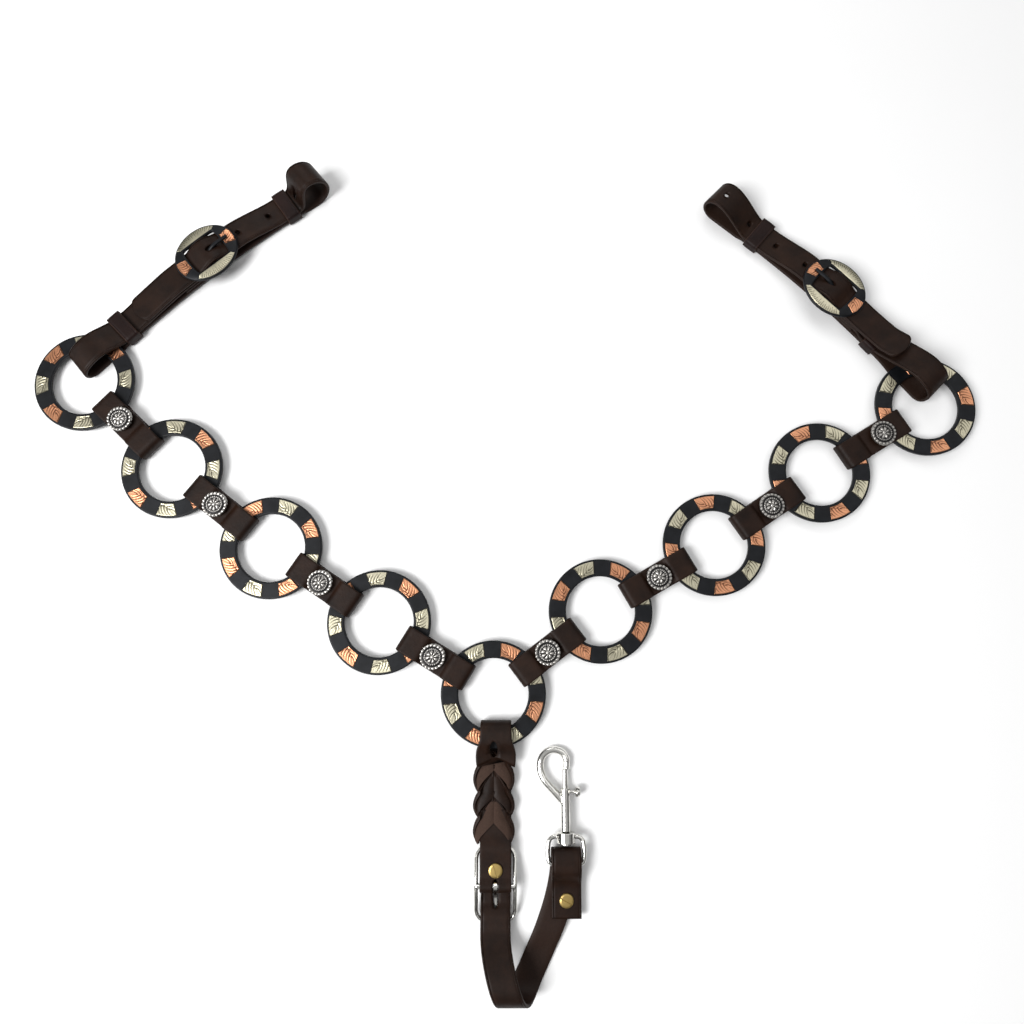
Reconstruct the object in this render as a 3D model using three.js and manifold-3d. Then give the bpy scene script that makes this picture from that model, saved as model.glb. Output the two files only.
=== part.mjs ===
// Western ring breast collar, laid flat: nine flat rings in a V, joined by folded leather tabs, with a tug strap at
// each top end and a braided drop with a swivel snap under the centre ring.
// Millimetres, +Z up. The collar lies on z = 0, and the origin is the bottom centre of its box.
// Every piece is drawn around the centre ring's axis, and the whole group is moved to its origin at the end.
import * as THREE from "three";
import { mergeVertices } from "three/addons/utils/BufferGeometryUtils.js";
import Module from "manifold-3d";

const wasm = await Module();
wasm.setup();

// ---------------------------------------------------------------- driving dimensions
const LEATHER = 2.4;
const AIR = 0.3;
const RING = { outer: 38.1, inner: 25.5, thick: 3.2, level: 5.5, sides: 48 };
const BAND = (RING.outer + RING.inner) / 2;
const PITCH = 98.6;
const STRAP = 22;

const TAB = { width: 20, half: 28.7, web: 10.3, pocket: 3.1, mouth: 2.0, waist: 3.7, waistEnd: 9.8, fullAt: 13.5 };
const CONCHO = { radius: 9.5, rim: 1.0, crown: 3.2, post: 2.2, hole: 2.5, screwHead: 3.6, screwThick: 1.2 };

// Each arm runs outwards from the centre ring. A heading is a link's angle above the horizontal, and a concho's
// shift is measured along its tab, towards the outer ring.
const ARMS = {
  left: { side: -1, headings: [31.4, 33.7, 37.8, 43.3], shifts: [2.1, 2.4, 3.0, 4.6] },
  right: { side: 1, headings: [37.1, 29.8, 33.8, 31.4], shifts: [0, 0, 1.8, 6.3] },
};

// Distances along a tug start at the end ring's centre. Across it, the strap's middle passes the centre at "across",
// and "bow" is how far the strap bends sideways in the middle of its length.
const TUGS = {
  left: {
    heading: 40.3, across: 12, bow: 7, ringEnd: 3.2, ringLoop: 16, ringKeeper: 49.3, tip: 63.5,
    buckle: 135.5, saddleKeeper: 208, saddleEnd: 243.5, saddleLoop: 28.8,
  },
  right: {
    heading: 135.4, across: -12, bow: -6.7, ringEnd: 3.2, ringLoop: 23.5, ringKeeper: 62.5, tip: 42,
    buckle: 112.8, saddleKeeper: 184.5, saddleEnd: 233, saddleLoop: 21.5,
  },
};
const RIVET = 2.2;
const HOLE_PITCH = 27;
const KEEPER = { length: 11.5, wall: 1.5, across: 23 };
const OVAL = { length: 52, width: 42, thick: 2.8, window: 30, opening: 23.2, bar: 4, barThick: 2.4, lug: 3.2 };

// The braid's edges swell and narrow once per lobe, and "notch" is one of the narrow spots.
const DROP = {
  x: 2, loopEnd: 17.9, loopHeight: 14.5, braidStart: 46, braidEnd: 98, braidHeight: 8.6, notch: 49.5, lobe: 18,
};
const DROP_BUCKLE = { bar: 130, half: 24, side: 13.6, wire: 1.5, round: 6, barRadius: 1.8, screw: 119.3 };
const BRASS = { head: 5, thick: 1.4, post: 2.2, back: 3.6, backThick: 1.2 };
const SNAP = {
  x: 51.4, bar: 115.5, level: 8.8, tilt: 4.4, wire: 1.7, eyeReach: 12.6, collarLow: 13.9, collarHigh: 20.9,
  collarRadius: 6.5, bore: 2.6, shank: 3.4, shankTop: 50.1, hollow: 2.15, hollowLow: 25, slotLow: 34.6,
  slotHigh: 49, bolt: 1.85, boltLow: 39.6, boltTop: 62.8, knobAt: 47.6,
};

const COLOURS = {
  leather: [0x32201a, 0.75, 0],
  steel: [0x2b2d30, 0.45, 0.8],
  silver: [0x9a9388, 0.4, 0.9],
  nickel: [0xd5d3cc, 0.15, 1],
  brass: [0x9a7c3c, 0.35, 0.9],
};

// ---------------------------------------------------------------- helpers
const pivots = {};
const collar = new THREE.Group();

function material(name) {
  const [color, roughness, metalness] = COLOURS[name];
  return new THREE.MeshStandardMaterial({ color, roughness, metalness });
}

function place(parent, name, geometry, look) {
  const mesh = new THREE.Mesh(geometry, material(look));
  mesh.name = name;
  parent.add(mesh);
  return mesh;
}

// A group at (x, y) whose own +X axis points along the heading.
function frameAt(parent, x, y, heading) {
  const group = new THREE.Group();
  group.position.set(x, y, 0);
  group.rotation.z = THREE.MathUtils.degToRad(heading);
  parent.add(group);
  return group;
}

// A pivot is a point and a direction in some group's frame, kept in the collar's own frame.
function pivot(name, group, point, direction) {
  group.updateWorldMatrix(true, false);
  const at = new THREE.Vector3(...point).applyMatrix4(group.matrixWorld);
  const axis = new THREE.Vector3(...direction).transformDirection(group.matrixWorld);
  pivots[name] = { at, axis };
}

function solid(geometry) {
  const bare = geometry.index ? geometry.toNonIndexed() : geometry.clone();
  bare.deleteAttribute("normal");
  bare.deleteAttribute("uv");
  const merged = mergeVertices(bare, 1e-4);
  const vertProperties = merged.attributes.position.array;
  const triVerts = new Uint32Array(merged.index.array);
  return new wasm.Manifold(new wasm.Mesh({ numProp: 3, vertProperties, triVerts }));
}

function geometryOf(made) {
  const mesh = made.getMesh();
  const geometry = new THREE.BufferGeometry();
  geometry.setAttribute("position", new THREE.BufferAttribute(mesh.vertProperties, 3));
  geometry.setIndex(new THREE.BufferAttribute(mesh.triVerts, 1));
  return geometry;
}

function join(first, ...others) {
  return geometryOf(others.reduce((sum, next) => sum.add(solid(next)), solid(first)));
}

function cut(first, ...others) {
  return geometryOf(others.reduce((sum, next) => sum.subtract(solid(next)), solid(first)));
}

function block(low, high) {
  const size = high.map((value, i) => value - low[i]);
  const middle = high.map((value, i) => (value + low[i]) / 2);
  return new THREE.BoxGeometry(...size).translate(...middle);
}

function uprightPin(radius, low, high, x = 0, y = 0, sides = 12) {
  const pin = new THREE.CylinderGeometry(radius, radius, high - low, sides).rotateX(Math.PI / 2);
  return pin.translate(x, y, (low + high) / 2);
}

// The points of a path, without the repeated ones where its pieces meet.
function pointsOf(path, steps) {
  const drawn = path.getPoints(steps);
  const kept = drawn.filter((point, i) => i === 0 || point.distanceTo(drawn[i - 1]) > 0.01);
  if (kept[0].distanceTo(kept[kept.length - 1]) < 0.01) {
    kept.pop();
  }
  return kept;
}

// The same points, run clockwise or the other way round.
function wound(points, clockwise) {
  return THREE.ShapeUtils.isClockWise(points) === clockwise ? points : [...points].reverse();
}

// A flat outline with holes, extruded to a depth along +Z.
function extrude(outline, depth, steps = 5) {
  const shape = new THREE.Shape(wound(pointsOf(outline, steps), false));
  shape.holes = (outline.holes ?? []).map((hole) => new THREE.Path(wound(pointsOf(hole, steps), true)));
  return new THREE.ExtrudeGeometry(shape, { depth, bevelEnabled: false });
}

// A side view in (x, z), extruded across y and centred on it.
function across(outline, width, steps = 3) {
  return extrude(outline, width, steps).rotateX(Math.PI / 2).translate(0, width / 2, 0);
}

// The points of a path, close enough together to bend sideways smoothly.
function closePoints(path, steps, longest) {
  const line = pointsOf(path, steps);
  const close = [line[0]];
  for (let i = 1; i < line.length; i += 1) {
    const parts = Math.ceil(line[i].distanceTo(line[i - 1]) / longest);
    for (let part = 1; part <= parts; part += 1) {
      close.push(line[i - 1].clone().lerp(line[i], part / parts));
    }
  }
  return close;
}

// A strap from the centreline of its side view: a rectangular section carried along it, with its width across y.
// "sideways" moves a section across y, by its place and by how far along the strap it is.
function strap(path, width, { steps = 4, longest = 400, thickness = LEATHER, sideways = () => 0 } = {}) {
  const line = closePoints(path, steps, longest);
  const positions = [];
  const faces = [];
  let length = 0;
  line.forEach((point, i) => {
    const before = line[Math.max(i - 1, 0)];
    const after = line[Math.min(i + 1, line.length - 1)];
    const along = after.clone().sub(before).normalize();
    const out = new THREE.Vector2(-along.y, along.x).multiplyScalar(thickness / 2);
    length += i > 0 ? point.distanceTo(line[i - 1]) : 0;
    const middle = sideways(point.x, length);
    for (const [face, edge] of [[-1, -1], [1, -1], [1, 1], [-1, 1]]) {
      positions.push(point.x + face * out.x, middle + (edge * width) / 2, point.y + face * out.y);
    }
  });
  const quad = (a, b, c, d) => faces.push(a, c, b, a, d, c);
  for (let i = 0; i + 1 < line.length; i += 1) {
    for (let side = 0; side < 4; side += 1) {
      const next = (side + 1) % 4;
      quad(4 * i + side, 4 * i + next, 4 * i + 4 + next, 4 * i + 4 + side);
    }
  }
  const last = 4 * (line.length - 1);
  quad(3, 2, 1, 0);
  quad(last, last + 1, last + 2, last + 3);
  const geometry = new THREE.BufferGeometry();
  geometry.setAttribute("position", new THREE.Float32BufferAttribute(positions, 3));
  geometry.setIndex(faces);
  return geometry;
}

// A round rod along a smooth curve through the points.
function rod(points, radius, steps, sides = 10) {
  const corners = [...Array(sides).keys()].map((i) => {
    const angle = (2 * Math.PI * i) / sides;
    return new THREE.Vector2(radius * Math.cos(angle), radius * Math.sin(angle));
  });
  const extrudePath = new THREE.CatmullRomCurve3(points.map((point) => new THREE.Vector3(...point)));
  return new THREE.ExtrudeGeometry(new THREE.Shape(corners), { extrudePath, steps, bevelEnabled: false });
}

function turned(profile, sides) {
  const points = profile.map(([radius, height]) => new THREE.Vector2(radius, height));
  return new THREE.LatheGeometry(points, sides).rotateX(Math.PI / 2);
}

// ---------------------------------------------------------------- rings
function flatRing() {
  const half = RING.thick / 2;
  const corners = [
    [RING.inner, -half],
    [RING.outer, -half],
    [RING.outer, half],
    [RING.inner, half],
    [RING.inner, -half],
  ];
  return turned(corners, RING.sides).translate(0, 0, RING.level);
}

function addRing(name, x, y) {
  const group = frameAt(collar, x, y, 0);
  place(group, name, flatRing(), "steel");
  pivot(name, group, [0, 0, RING.level], [0, 0, 1]);
}

// ---------------------------------------------------------------- tabs, conchos and their screws
// One leather piece folded over itself round two rings. Its side view is a flattened loop with a pocket at each end
// for the ring's band, drawn towards its middle by the concho's screw.
function tabLeather(shift) {
  const { half, web, pocket, mouth, waist, waistEnd, fullAt } = TAB;
  const full = pocket + LEATHER;
  const corner = 3.4;
  const outline = new THREE.Shape();
  outline.moveTo(-waistEnd, waist);
  outline.lineTo(waistEnd, waist);
  outline.bezierCurveTo(waistEnd + 1.6, waist, fullAt - 1.6, full, fullAt, full);
  outline.lineTo(half - corner, full);
  outline.absarc(half - corner, full - corner, corner, Math.PI / 2, 0, true);
  outline.absarc(half - corner, corner - full, corner, 0, -Math.PI / 2, true);
  outline.lineTo(fullAt, -full);
  outline.bezierCurveTo(fullAt - 1.6, -full, waistEnd + 1.6, -waist, waistEnd, -waist);
  outline.lineTo(-waistEnd, -waist);
  outline.bezierCurveTo(-waistEnd - 1.6, -waist, -fullAt + 1.6, -full, -fullAt, -full);
  outline.lineTo(corner - half, -full);
  outline.absarc(corner - half, corner - full, corner, -Math.PI / 2, -Math.PI, true);
  outline.absarc(corner - half, full - corner, corner, Math.PI, Math.PI / 2, true);
  outline.lineTo(-fullAt, full);
  outline.bezierCurveTo(-fullAt + 1.6, full, -waistEnd - 1.6, waist, -waistEnd, waist);
  for (const end of [-1, 1]) {
    const far = half - LEATHER;
    outline.holes.push(
      new THREE.Path([
        new THREE.Vector2(end * web, -mouth),
        new THREE.Vector2(end * (web + 1.3), -pocket),
        new THREE.Vector2(end * (far - 0.9), -pocket),
        new THREE.Vector2(end * far, 0.9 - pocket),
        new THREE.Vector2(end * far, pocket - 0.9),
        new THREE.Vector2(end * (far - 0.9), pocket),
        new THREE.Vector2(end * (web + 1.3), pocket),
        new THREE.Vector2(end * web, mouth),
      ]),
    );
  }
  const folded = across(outline, TAB.width).translate(0, 0, RING.level);
  return cut(folded, uprightPin(CONCHO.hole, -1, 2 * RING.level + 1, shift));
}

function conchoHead() {
  const seat = RING.level + TAB.pocket + LEATHER + AIR;
  const { radius, rim, crown, post } = CONCHO;
  const profile = [
    [0, RING.level + AIR / 2],
    [post, RING.level + AIR / 2],
    [post, seat],
    [radius, seat],
    [radius, seat + rim],
    [radius * 0.6, seat + crown * 0.8],
    [0, seat + crown],
  ];
  return turned(profile, 16);
}

function conchoScrew() {
  const under = RING.level - TAB.waist - 0.2;
  const { screwHead, screwThick, post } = CONCHO;
  const profile = [
    [0, under - screwThick],
    [screwHead, under - screwThick],
    [screwHead, under],
    [post, under],
    [post, RING.level - AIR / 2],
    [0, RING.level - AIR / 2],
  ];
  return turned(profile, 12);
}

// Rings and tabs of one arm, and the place of its end ring.
function addArm(label, { side, headings, shifts }) {
  let x = 0;
  let y = 0;
  headings.forEach((heading, i) => {
    const number = i + 1;
    const bearing = side > 0 ? heading : 180 - heading;
    const angle = THREE.MathUtils.degToRad(bearing);
    const group = frameAt(collar, x + (PITCH / 2) * Math.cos(angle), y + (PITCH / 2) * Math.sin(angle), bearing);
    place(group, `${label}_tab_${number}`, tabLeather(shifts[i]), "leather");
    place(group, `${label}_concho_${number}`, conchoHead().translate(shifts[i], 0, 0), "silver");
    place(group, `${label}_concho_screw_${number}`, conchoScrew().translate(shifts[i], 0, 0), "silver");
    pivot(`${label}_tab_${number}`, group, [BAND - PITCH / 2, 0, RING.level], [0, -1, 0]);
    x += PITCH * Math.cos(angle);
    y += PITCH * Math.sin(angle);
    addRing(`${label}_ring_${number}`, x, y);
  });
  return [x, y];
}

// ---------------------------------------------------------------- tugs
// Levels of the strap's layers and the buckle, from the surface up. Under the frame's ends lie the billet, the
// buckle end of the strap, its short return and the underside run.
const STEP = LEATHER + 0.4;
const LEVEL = { floor: LEATHER / 2, under: 3.0 };
LEVEL.turned = LEVEL.under + STEP;
LEVEL.bar = LEVEL.turned + 3.9;
LEVEL.lower = LEVEL.turned + STEP;
LEVEL.billet = LEVEL.lower + STEP;
LEVEL.crest = LEVEL.bar + 6.7;
LEVEL.frame = LEVEL.billet + LEATHER / 2 + 0.4;

// Sideways place of the strap's middle, along the tug.
function bowAt(tug, x) {
  return tug.bow * Math.sin((Math.PI * (x - tug.ringEnd)) / (tug.saddleEnd - tug.ringEnd));
}

// A frame at a distance along the tug, turned with the strap's sideways bend.
function onTug(group, tug, x) {
  const slope = (bowAt(tug, x + 1) - bowAt(tug, x - 1)) / 2;
  return frameAt(group, x, bowAt(tug, x), THREE.MathUtils.radToDeg(Math.atan(slope)));
}

function tugPath(tug) {
  const { buckle, ringEnd, ringLoop, ringKeeper, saddleKeeper, saddleEnd, tip } = tug;
  const overRing = ringLoop - LEATHER / 2;
  const overSaddle = tug.saddleLoop - LEATHER / 2;
  const keeperIn = ringKeeper - KEEPER.length / 2;
  const keeperOut = ringKeeper + KEEPER.length / 2;
  const saddleIn = saddleKeeper - KEEPER.length / 2;
  const saddleOut = saddleKeeper + KEEPER.length / 2;
  const round = saddleEnd - LEATHER / 2 - (overSaddle - LEVEL.floor) / 2;
  const overKeeper = tip < ringKeeper ? LEVEL.turned + 2 * LEATHER + KEEPER.wall : LEVEL.turned + STEP;
  const path = new THREE.Path();
  path.moveTo(buckle - 32, LEVEL.turned);
  path.lineTo(buckle, LEVEL.turned);
  path.absarc(buckle, LEVEL.bar, 3.9, -Math.PI / 2, (Math.PI * 115) / 180);
  path.bezierCurveTo(buckle - 6, 12.2, buckle - 9, LEVEL.lower, buckle - 13, LEVEL.lower);
  path.lineTo(buckle - 34, LEVEL.lower);
  path.bezierCurveTo(buckle - 40, LEVEL.lower, keeperOut + 7, LEVEL.turned, keeperOut + 1, LEVEL.turned);
  path.lineTo(keeperIn + 2, LEVEL.turned + 0.4);
  path.bezierCurveTo(keeperIn - 6, LEVEL.turned + 2, ringEnd + 26, overRing, ringEnd + 17, overRing);
  path.bezierCurveTo(ringEnd + 6, overRing, ringEnd + 1.2, overRing - 4, ringEnd + 1.2, overRing / 2 + 0.6);
  path.bezierCurveTo(ringEnd + 1.2, 3, ringEnd + 4, LEVEL.floor, ringEnd + 9, LEVEL.floor);
  path.lineTo(37.5, LEVEL.floor);
  path.bezierCurveTo(40, LEVEL.floor, 41, LEVEL.under, keeperIn + 0.3, LEVEL.under);
  path.lineTo(saddleOut + 1, LEVEL.under);
  path.bezierCurveTo(saddleOut + 4, LEVEL.under, saddleOut + 4, LEVEL.floor, saddleOut + 8, LEVEL.floor);
  path.lineTo(round, LEVEL.floor);
  path.absarc(round, (LEVEL.floor + overSaddle) / 2, (overSaddle - LEVEL.floor) / 2, -Math.PI / 2, Math.PI / 2);
  path.bezierCurveTo(round - 11, overSaddle, saddleOut + 9, LEVEL.turned + 2, saddleOut + 1, LEVEL.turned);
  path.lineTo(saddleIn - 1, LEVEL.turned);
  path.bezierCurveTo(saddleIn - 12, LEVEL.turned, buckle + 36, LEVEL.billet, buckle + 26, LEVEL.billet);
  path.lineTo(buckle + 15, LEVEL.billet);
  path.bezierCurveTo(buckle + 10, LEVEL.billet, buckle + 7, LEVEL.crest, buckle, LEVEL.crest);
  path.bezierCurveTo(buckle - 7, LEVEL.crest, buckle - 10, LEVEL.billet, buckle - 15, LEVEL.billet);
  path.lineTo(buckle - 34, LEVEL.billet);
  if (tip < ringKeeper) {
    path.bezierCurveTo(buckle - 38, LEVEL.billet, keeperOut + 3, overKeeper, keeperOut, overKeeper);
    path.lineTo(keeperIn, overKeeper + 1.4);
    path.lineTo(tip, overKeeper + 8.5);
  } else {
    path.bezierCurveTo(buckle - 40, LEVEL.billet, tip + 12, overKeeper + 0.4, tip, overKeeper + 0.2);
  }
  return path;
}

function tugLeather(tug) {
  const { buckle, saddleKeeper } = tug;
  const folded = strap(tugPath(tug), STRAP, { longest: 26, sideways: (x) => bowAt(tug, x) });
  const middle = bowAt(tug, buckle);
  const foldSlot = block([buckle - 7, middle - 2, LEVEL.bar - 6.2], [buckle + 6.5, middle + 2, LEVEL.bar + 5.5]);
  const tongueSlot = block([buckle + 0.5, middle - 2.1, 12.2], [buckle + 10, middle + 2.1, 19]);
  const postHole = uprightPin(2.5, LEVEL.turned - 2, LEVEL.lower + 2, buckle - 24, bowAt(tug, buckle - 24));
  const spares = [];
  for (let x = buckle + 2 + HOLE_PITCH; x < saddleKeeper - KEEPER.length; x += HOLE_PITCH) {
    spares.push(uprightPin(2, LEVEL.under + LEATHER / 2 + 0.1, 16, x, bowAt(tug, x), 8));
  }
  return cut(folded, foldSlot, tongueSlot, postHole, ...spares);
}

// Oval frame with a window, and a bar across the window's middle that hangs below the frame on two lugs.
function ovalBuckle() {
  const { length, width, thick, window, opening, bar, barThick, lug } = OVAL;
  const plan = new THREE.Shape();
  plan.absellipse(0, 0, length / 2, width / 2, 0, 2 * Math.PI);
  plan.holes.push(
    new THREE.Path([
      new THREE.Vector2(-window / 2, -opening / 2),
      new THREE.Vector2(-window / 2, opening / 2),
      new THREE.Vector2(window / 2, opening / 2),
      new THREE.Vector2(window / 2, -opening / 2),
    ]),
  );
  const plate = extrude(plan, thick, 18);
  const low = LEVEL.bar - barThick / 2;
  const reach = opening / 2 + lug;
  const crossBar = block([-bar / 2, -reach, low], [bar / 2, reach, low + barThick]);
  const lugs = [-1, 1].map((end) => {
    const near = end * (opening / 2);
    const far = end * reach;
    return block([-bar / 2, Math.min(near, far), low], [bar / 2, Math.max(near, far), LEVEL.frame + 0.5]);
  });
  return join(plate.translate(0, 0, LEVEL.frame), crossBar, ...lugs);
}

// The tongue hangs on the bar by an eye, and its arm rises through the billet's hole on to the frame's end.
function tugTongue() {
  const eye = new THREE.Shape();
  eye.absarc(0, LEVEL.bar, 4.2, 0, 2 * Math.PI);
  const bore = new THREE.Path();
  bore.absarc(0, LEVEL.bar, 2.55, 0, 2 * Math.PI);
  eye.holes.push(bore);
  const arm = new THREE.Path();
  const rest = LEVEL.frame + OVAL.thick + AIR + 0.8;
  arm.moveTo(0.6, LEVEL.bar + 3.4);
  arm.bezierCurveTo(4, LEVEL.bar + 4.4, 7, rest, 13, rest);
  arm.lineTo(21, rest);
  return join(across(eye, 3, 8), strap(arm, 3, { steps: 6, thickness: 1.6 }));
}

function keeperLoop(low, high, round = 1) {
  const { length, wall, across: inner } = KEEPER;
  const outline = new THREE.Shape([
    new THREE.Vector2(-inner / 2 - wall, low + round),
    new THREE.Vector2(-inner / 2 - wall + round, low),
    new THREE.Vector2(inner / 2 + wall - round, low),
    new THREE.Vector2(inner / 2 + wall, low + round),
    new THREE.Vector2(inner / 2 + wall, high - round),
    new THREE.Vector2(inner / 2 + wall - round, high),
    new THREE.Vector2(-inner / 2 - wall + round, high),
    new THREE.Vector2(-inner / 2 - wall, high - round),
  ]);
  outline.holes.push(
    new THREE.Path([
      new THREE.Vector2(-inner / 2, low + wall),
      new THREE.Vector2(-inner / 2, high - wall),
      new THREE.Vector2(inner / 2, high - wall),
      new THREE.Vector2(inner / 2, low + wall),
    ]),
  );
  const band = extrude(outline, length);
  return band.translate(0, 0, -length / 2).rotateZ(Math.PI / 2).rotateY(Math.PI / 2);
}

// The pin through the two layers of the fold on the buckle's bar, flush with the leather.
function rivet(low, high) {
  return uprightPin(RIVET, low, high, 0, 0, 14);
}

function addTug(label, tug, [x, y]) {
  const group = frameAt(collar, x, y, tug.heading);
  const line = new THREE.Group();
  line.position.y = tug.across;
  group.add(line);
  place(line, `${label}_tug_strap`, tugLeather(tug), "leather");
  const nearRing = tug.across + bowAt(tug, BAND);
  const crossing = Math.sqrt(BAND ** 2 - nearRing ** 2);
  pivot(`${label}_tug`, line, [crossing, 0, RING.level], [0, -1, 0]);

  const atBuckle = onTug(line, tug, tug.buckle);
  place(atBuckle, `${label}_tug_buckle`, ovalBuckle(), "steel");
  place(atBuckle, `${label}_tug_tongue`, tugTongue(), "steel");
  pivot(`${label}_tug_tongue`, atBuckle, [0, 0, LEVEL.bar], [0, -1, 0]);

  const atFold = onTug(line, tug, tug.buckle - 24);
  const foldLow = LEVEL.turned - LEATHER / 2;
  const foldHigh = LEVEL.lower + LEATHER / 2;
  place(atFold, `${label}_tug_rivet`, rivet(foldLow, foldHigh), "nickel");

  const keepers = [
    ["ring_keeper", tug.ringKeeper, LEVEL.turned + LEATHER / 2 + 1.8 + KEEPER.wall],
    ["saddle_keeper", tug.saddleKeeper, LEVEL.turned + LEATHER / 2 + 0.8 + KEEPER.wall],
  ];
  for (const [name, at, high] of keepers) {
    const spot = onTug(line, tug, at);
    place(spot, `${label}_${name}`, keeperLoop(0, high), "leather");
    pivot(`${label}_${name}`, spot, [0, 0, LEVEL.under], [1, 0, 0]);
  }
}

// ---------------------------------------------------------------- drop
// Distances run down the drop from the centre ring's centre. The buckle lies face down: its frame arches over the
// surface, the drop's end is folded on its bar from above, and the lower strap's billet passes below the bar.
const HANG = {
  return: 5.6, bar: 8.9, bend: 3.3, pinched: 8.8, overEnd: 9.5, end: 3.3, billet: 1.5, billetEnd: 6.3, tongue: 0.9,
};
const BEND = { at: 192, radius: 11.5 };
const FOLD = { at: 110, low: 2.9, radius: 4.75, pinched: 5.7, end: 152, screw: 140 };

function dropLeather() {
  const { loopEnd, loopHeight, braidStart, braidEnd, braidHeight } = DROP;
  const { bar, half } = DROP_BUCKLE;
  const crown = loopHeight - LEATHER / 2;
  const bend = (crown - LEVEL.floor) / 2;
  const path = new THREE.Path();
  path.moveTo(bar - 16, HANG.return);
  path.lineTo(bar, HANG.return);
  path.absarc(bar, HANG.bar, HANG.bend, -Math.PI / 2, (Math.PI * 125) / 180);
  path.bezierCurveTo(bar - 3.5, HANG.pinched + 1.6, bar - 4.2, HANG.pinched, bar - 5.5, HANG.pinched);
  path.lineTo(bar - 15, HANG.pinched);
  path.bezierCurveTo(bar - 18, HANG.pinched, bar - half + 2, HANG.overEnd, bar - half - 1, HANG.overEnd);
  path.bezierCurveTo(bar - half - 5, HANG.overEnd, braidEnd - 1, 7.6, braidEnd - 6, 5.2);
  path.lineTo(braidStart + 4, 5.4);
  path.bezierCurveTo(braidStart - 4, 6.4, braidStart - 8, crown, loopEnd + bend + 8, crown);
  path.lineTo(loopEnd + bend + LEATHER / 2, crown);
  path.absarc(loopEnd + bend + LEATHER / 2, crown - bend, bend, Math.PI / 2, (Math.PI * 3) / 2);
  path.lineTo(39, LEVEL.floor);
  path.lineTo(braidStart + 8, 2);
  const hole = uprightPin(BRASS.post + AIR, 0, 20, DROP_BUCKLE.screw);
  const slot = block([bar - 6, -2, HANG.bar - 6], [bar + 6, 2, HANG.bar + 6]);
  const lobes = new THREE.Path();
  const edge = (x) => 12.6 + 1.9 * Math.abs(Math.sin((Math.PI * (x - DROP.notch)) / DROP.lobe));
  const steps = 18;
  const side = [...Array(steps + 1).keys()].map((i) => braidStart + ((braidEnd - braidStart) * i) / steps);
  const plan = [
    ...side.map((x) => new THREE.Vector2(x, -edge(x))),
    ...[...side].reverse().map((x) => new THREE.Vector2(x, edge(x))),
  ];
  lobes.setFromPoints(plan);
  const braid = extrude(lobes, braidHeight).translate(0, 0, 0.2);
  return cut(join(strap(path, STRAP), braid), hole, slot);
}

// Half of the frame, from the middle of its upper end to the middle of its lower end.
function frameHalf(side) {
  const { bar, half, side: reach, wire, round } = DROP_BUCKLE;
  const level = (x) => HANG.end + (HANG.bar - HANG.end) * Math.cos((Math.PI * (x - bar)) / (2 * half)) ** 2;
  const plan = [
    [bar - half, -0.4],
    [bar - half, reach - round],
    [bar - half + 1.8, reach - 1.8],
    [bar - half + round, reach],
    [bar - half / 2, reach],
    [bar, reach],
    [bar + half / 2, reach],
    [bar + half - round, reach],
    [bar + half - 1.8, reach - 1.8],
    [bar + half, reach - round],
    [bar + half, -0.4],
  ];
  return rod(plan.map(([x, y]) => [x, side * y, level(x)]), wire, 24, 8);
}

function dropBuckle() {
  const { bar, side, barRadius } = DROP_BUCKLE;
  const crossBar = new THREE.CylinderGeometry(barRadius, barRadius, 2 * side, 12).translate(bar, 0, HANG.bar);
  return join(frameHalf(1), frameHalf(-1), crossBar);
}

function dropTongue() {
  const { bar, half, barRadius } = DROP_BUCKLE;
  const eye = new THREE.Shape();
  eye.absarc(bar, HANG.bar, barRadius + 1.7, 0, 2 * Math.PI);
  const bore = new THREE.Path();
  bore.absarc(bar, HANG.bar, barRadius + 0.25, 0, 2 * Math.PI);
  eye.holes.push(bore);
  const arm = new THREE.Path();
  arm.moveTo(bar + 0.6, HANG.bar - barRadius - 0.9);
  arm.bezierCurveTo(bar + 5, HANG.bar - barRadius - 1.2, bar + 6, HANG.tongue, bar + 13, HANG.tongue);
  arm.lineTo(bar + half + 1, HANG.tongue);
  return join(across(eye, 3, 8), strap(arm, 2.6, { steps: 6, thickness: 1.2 }));
}

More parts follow.
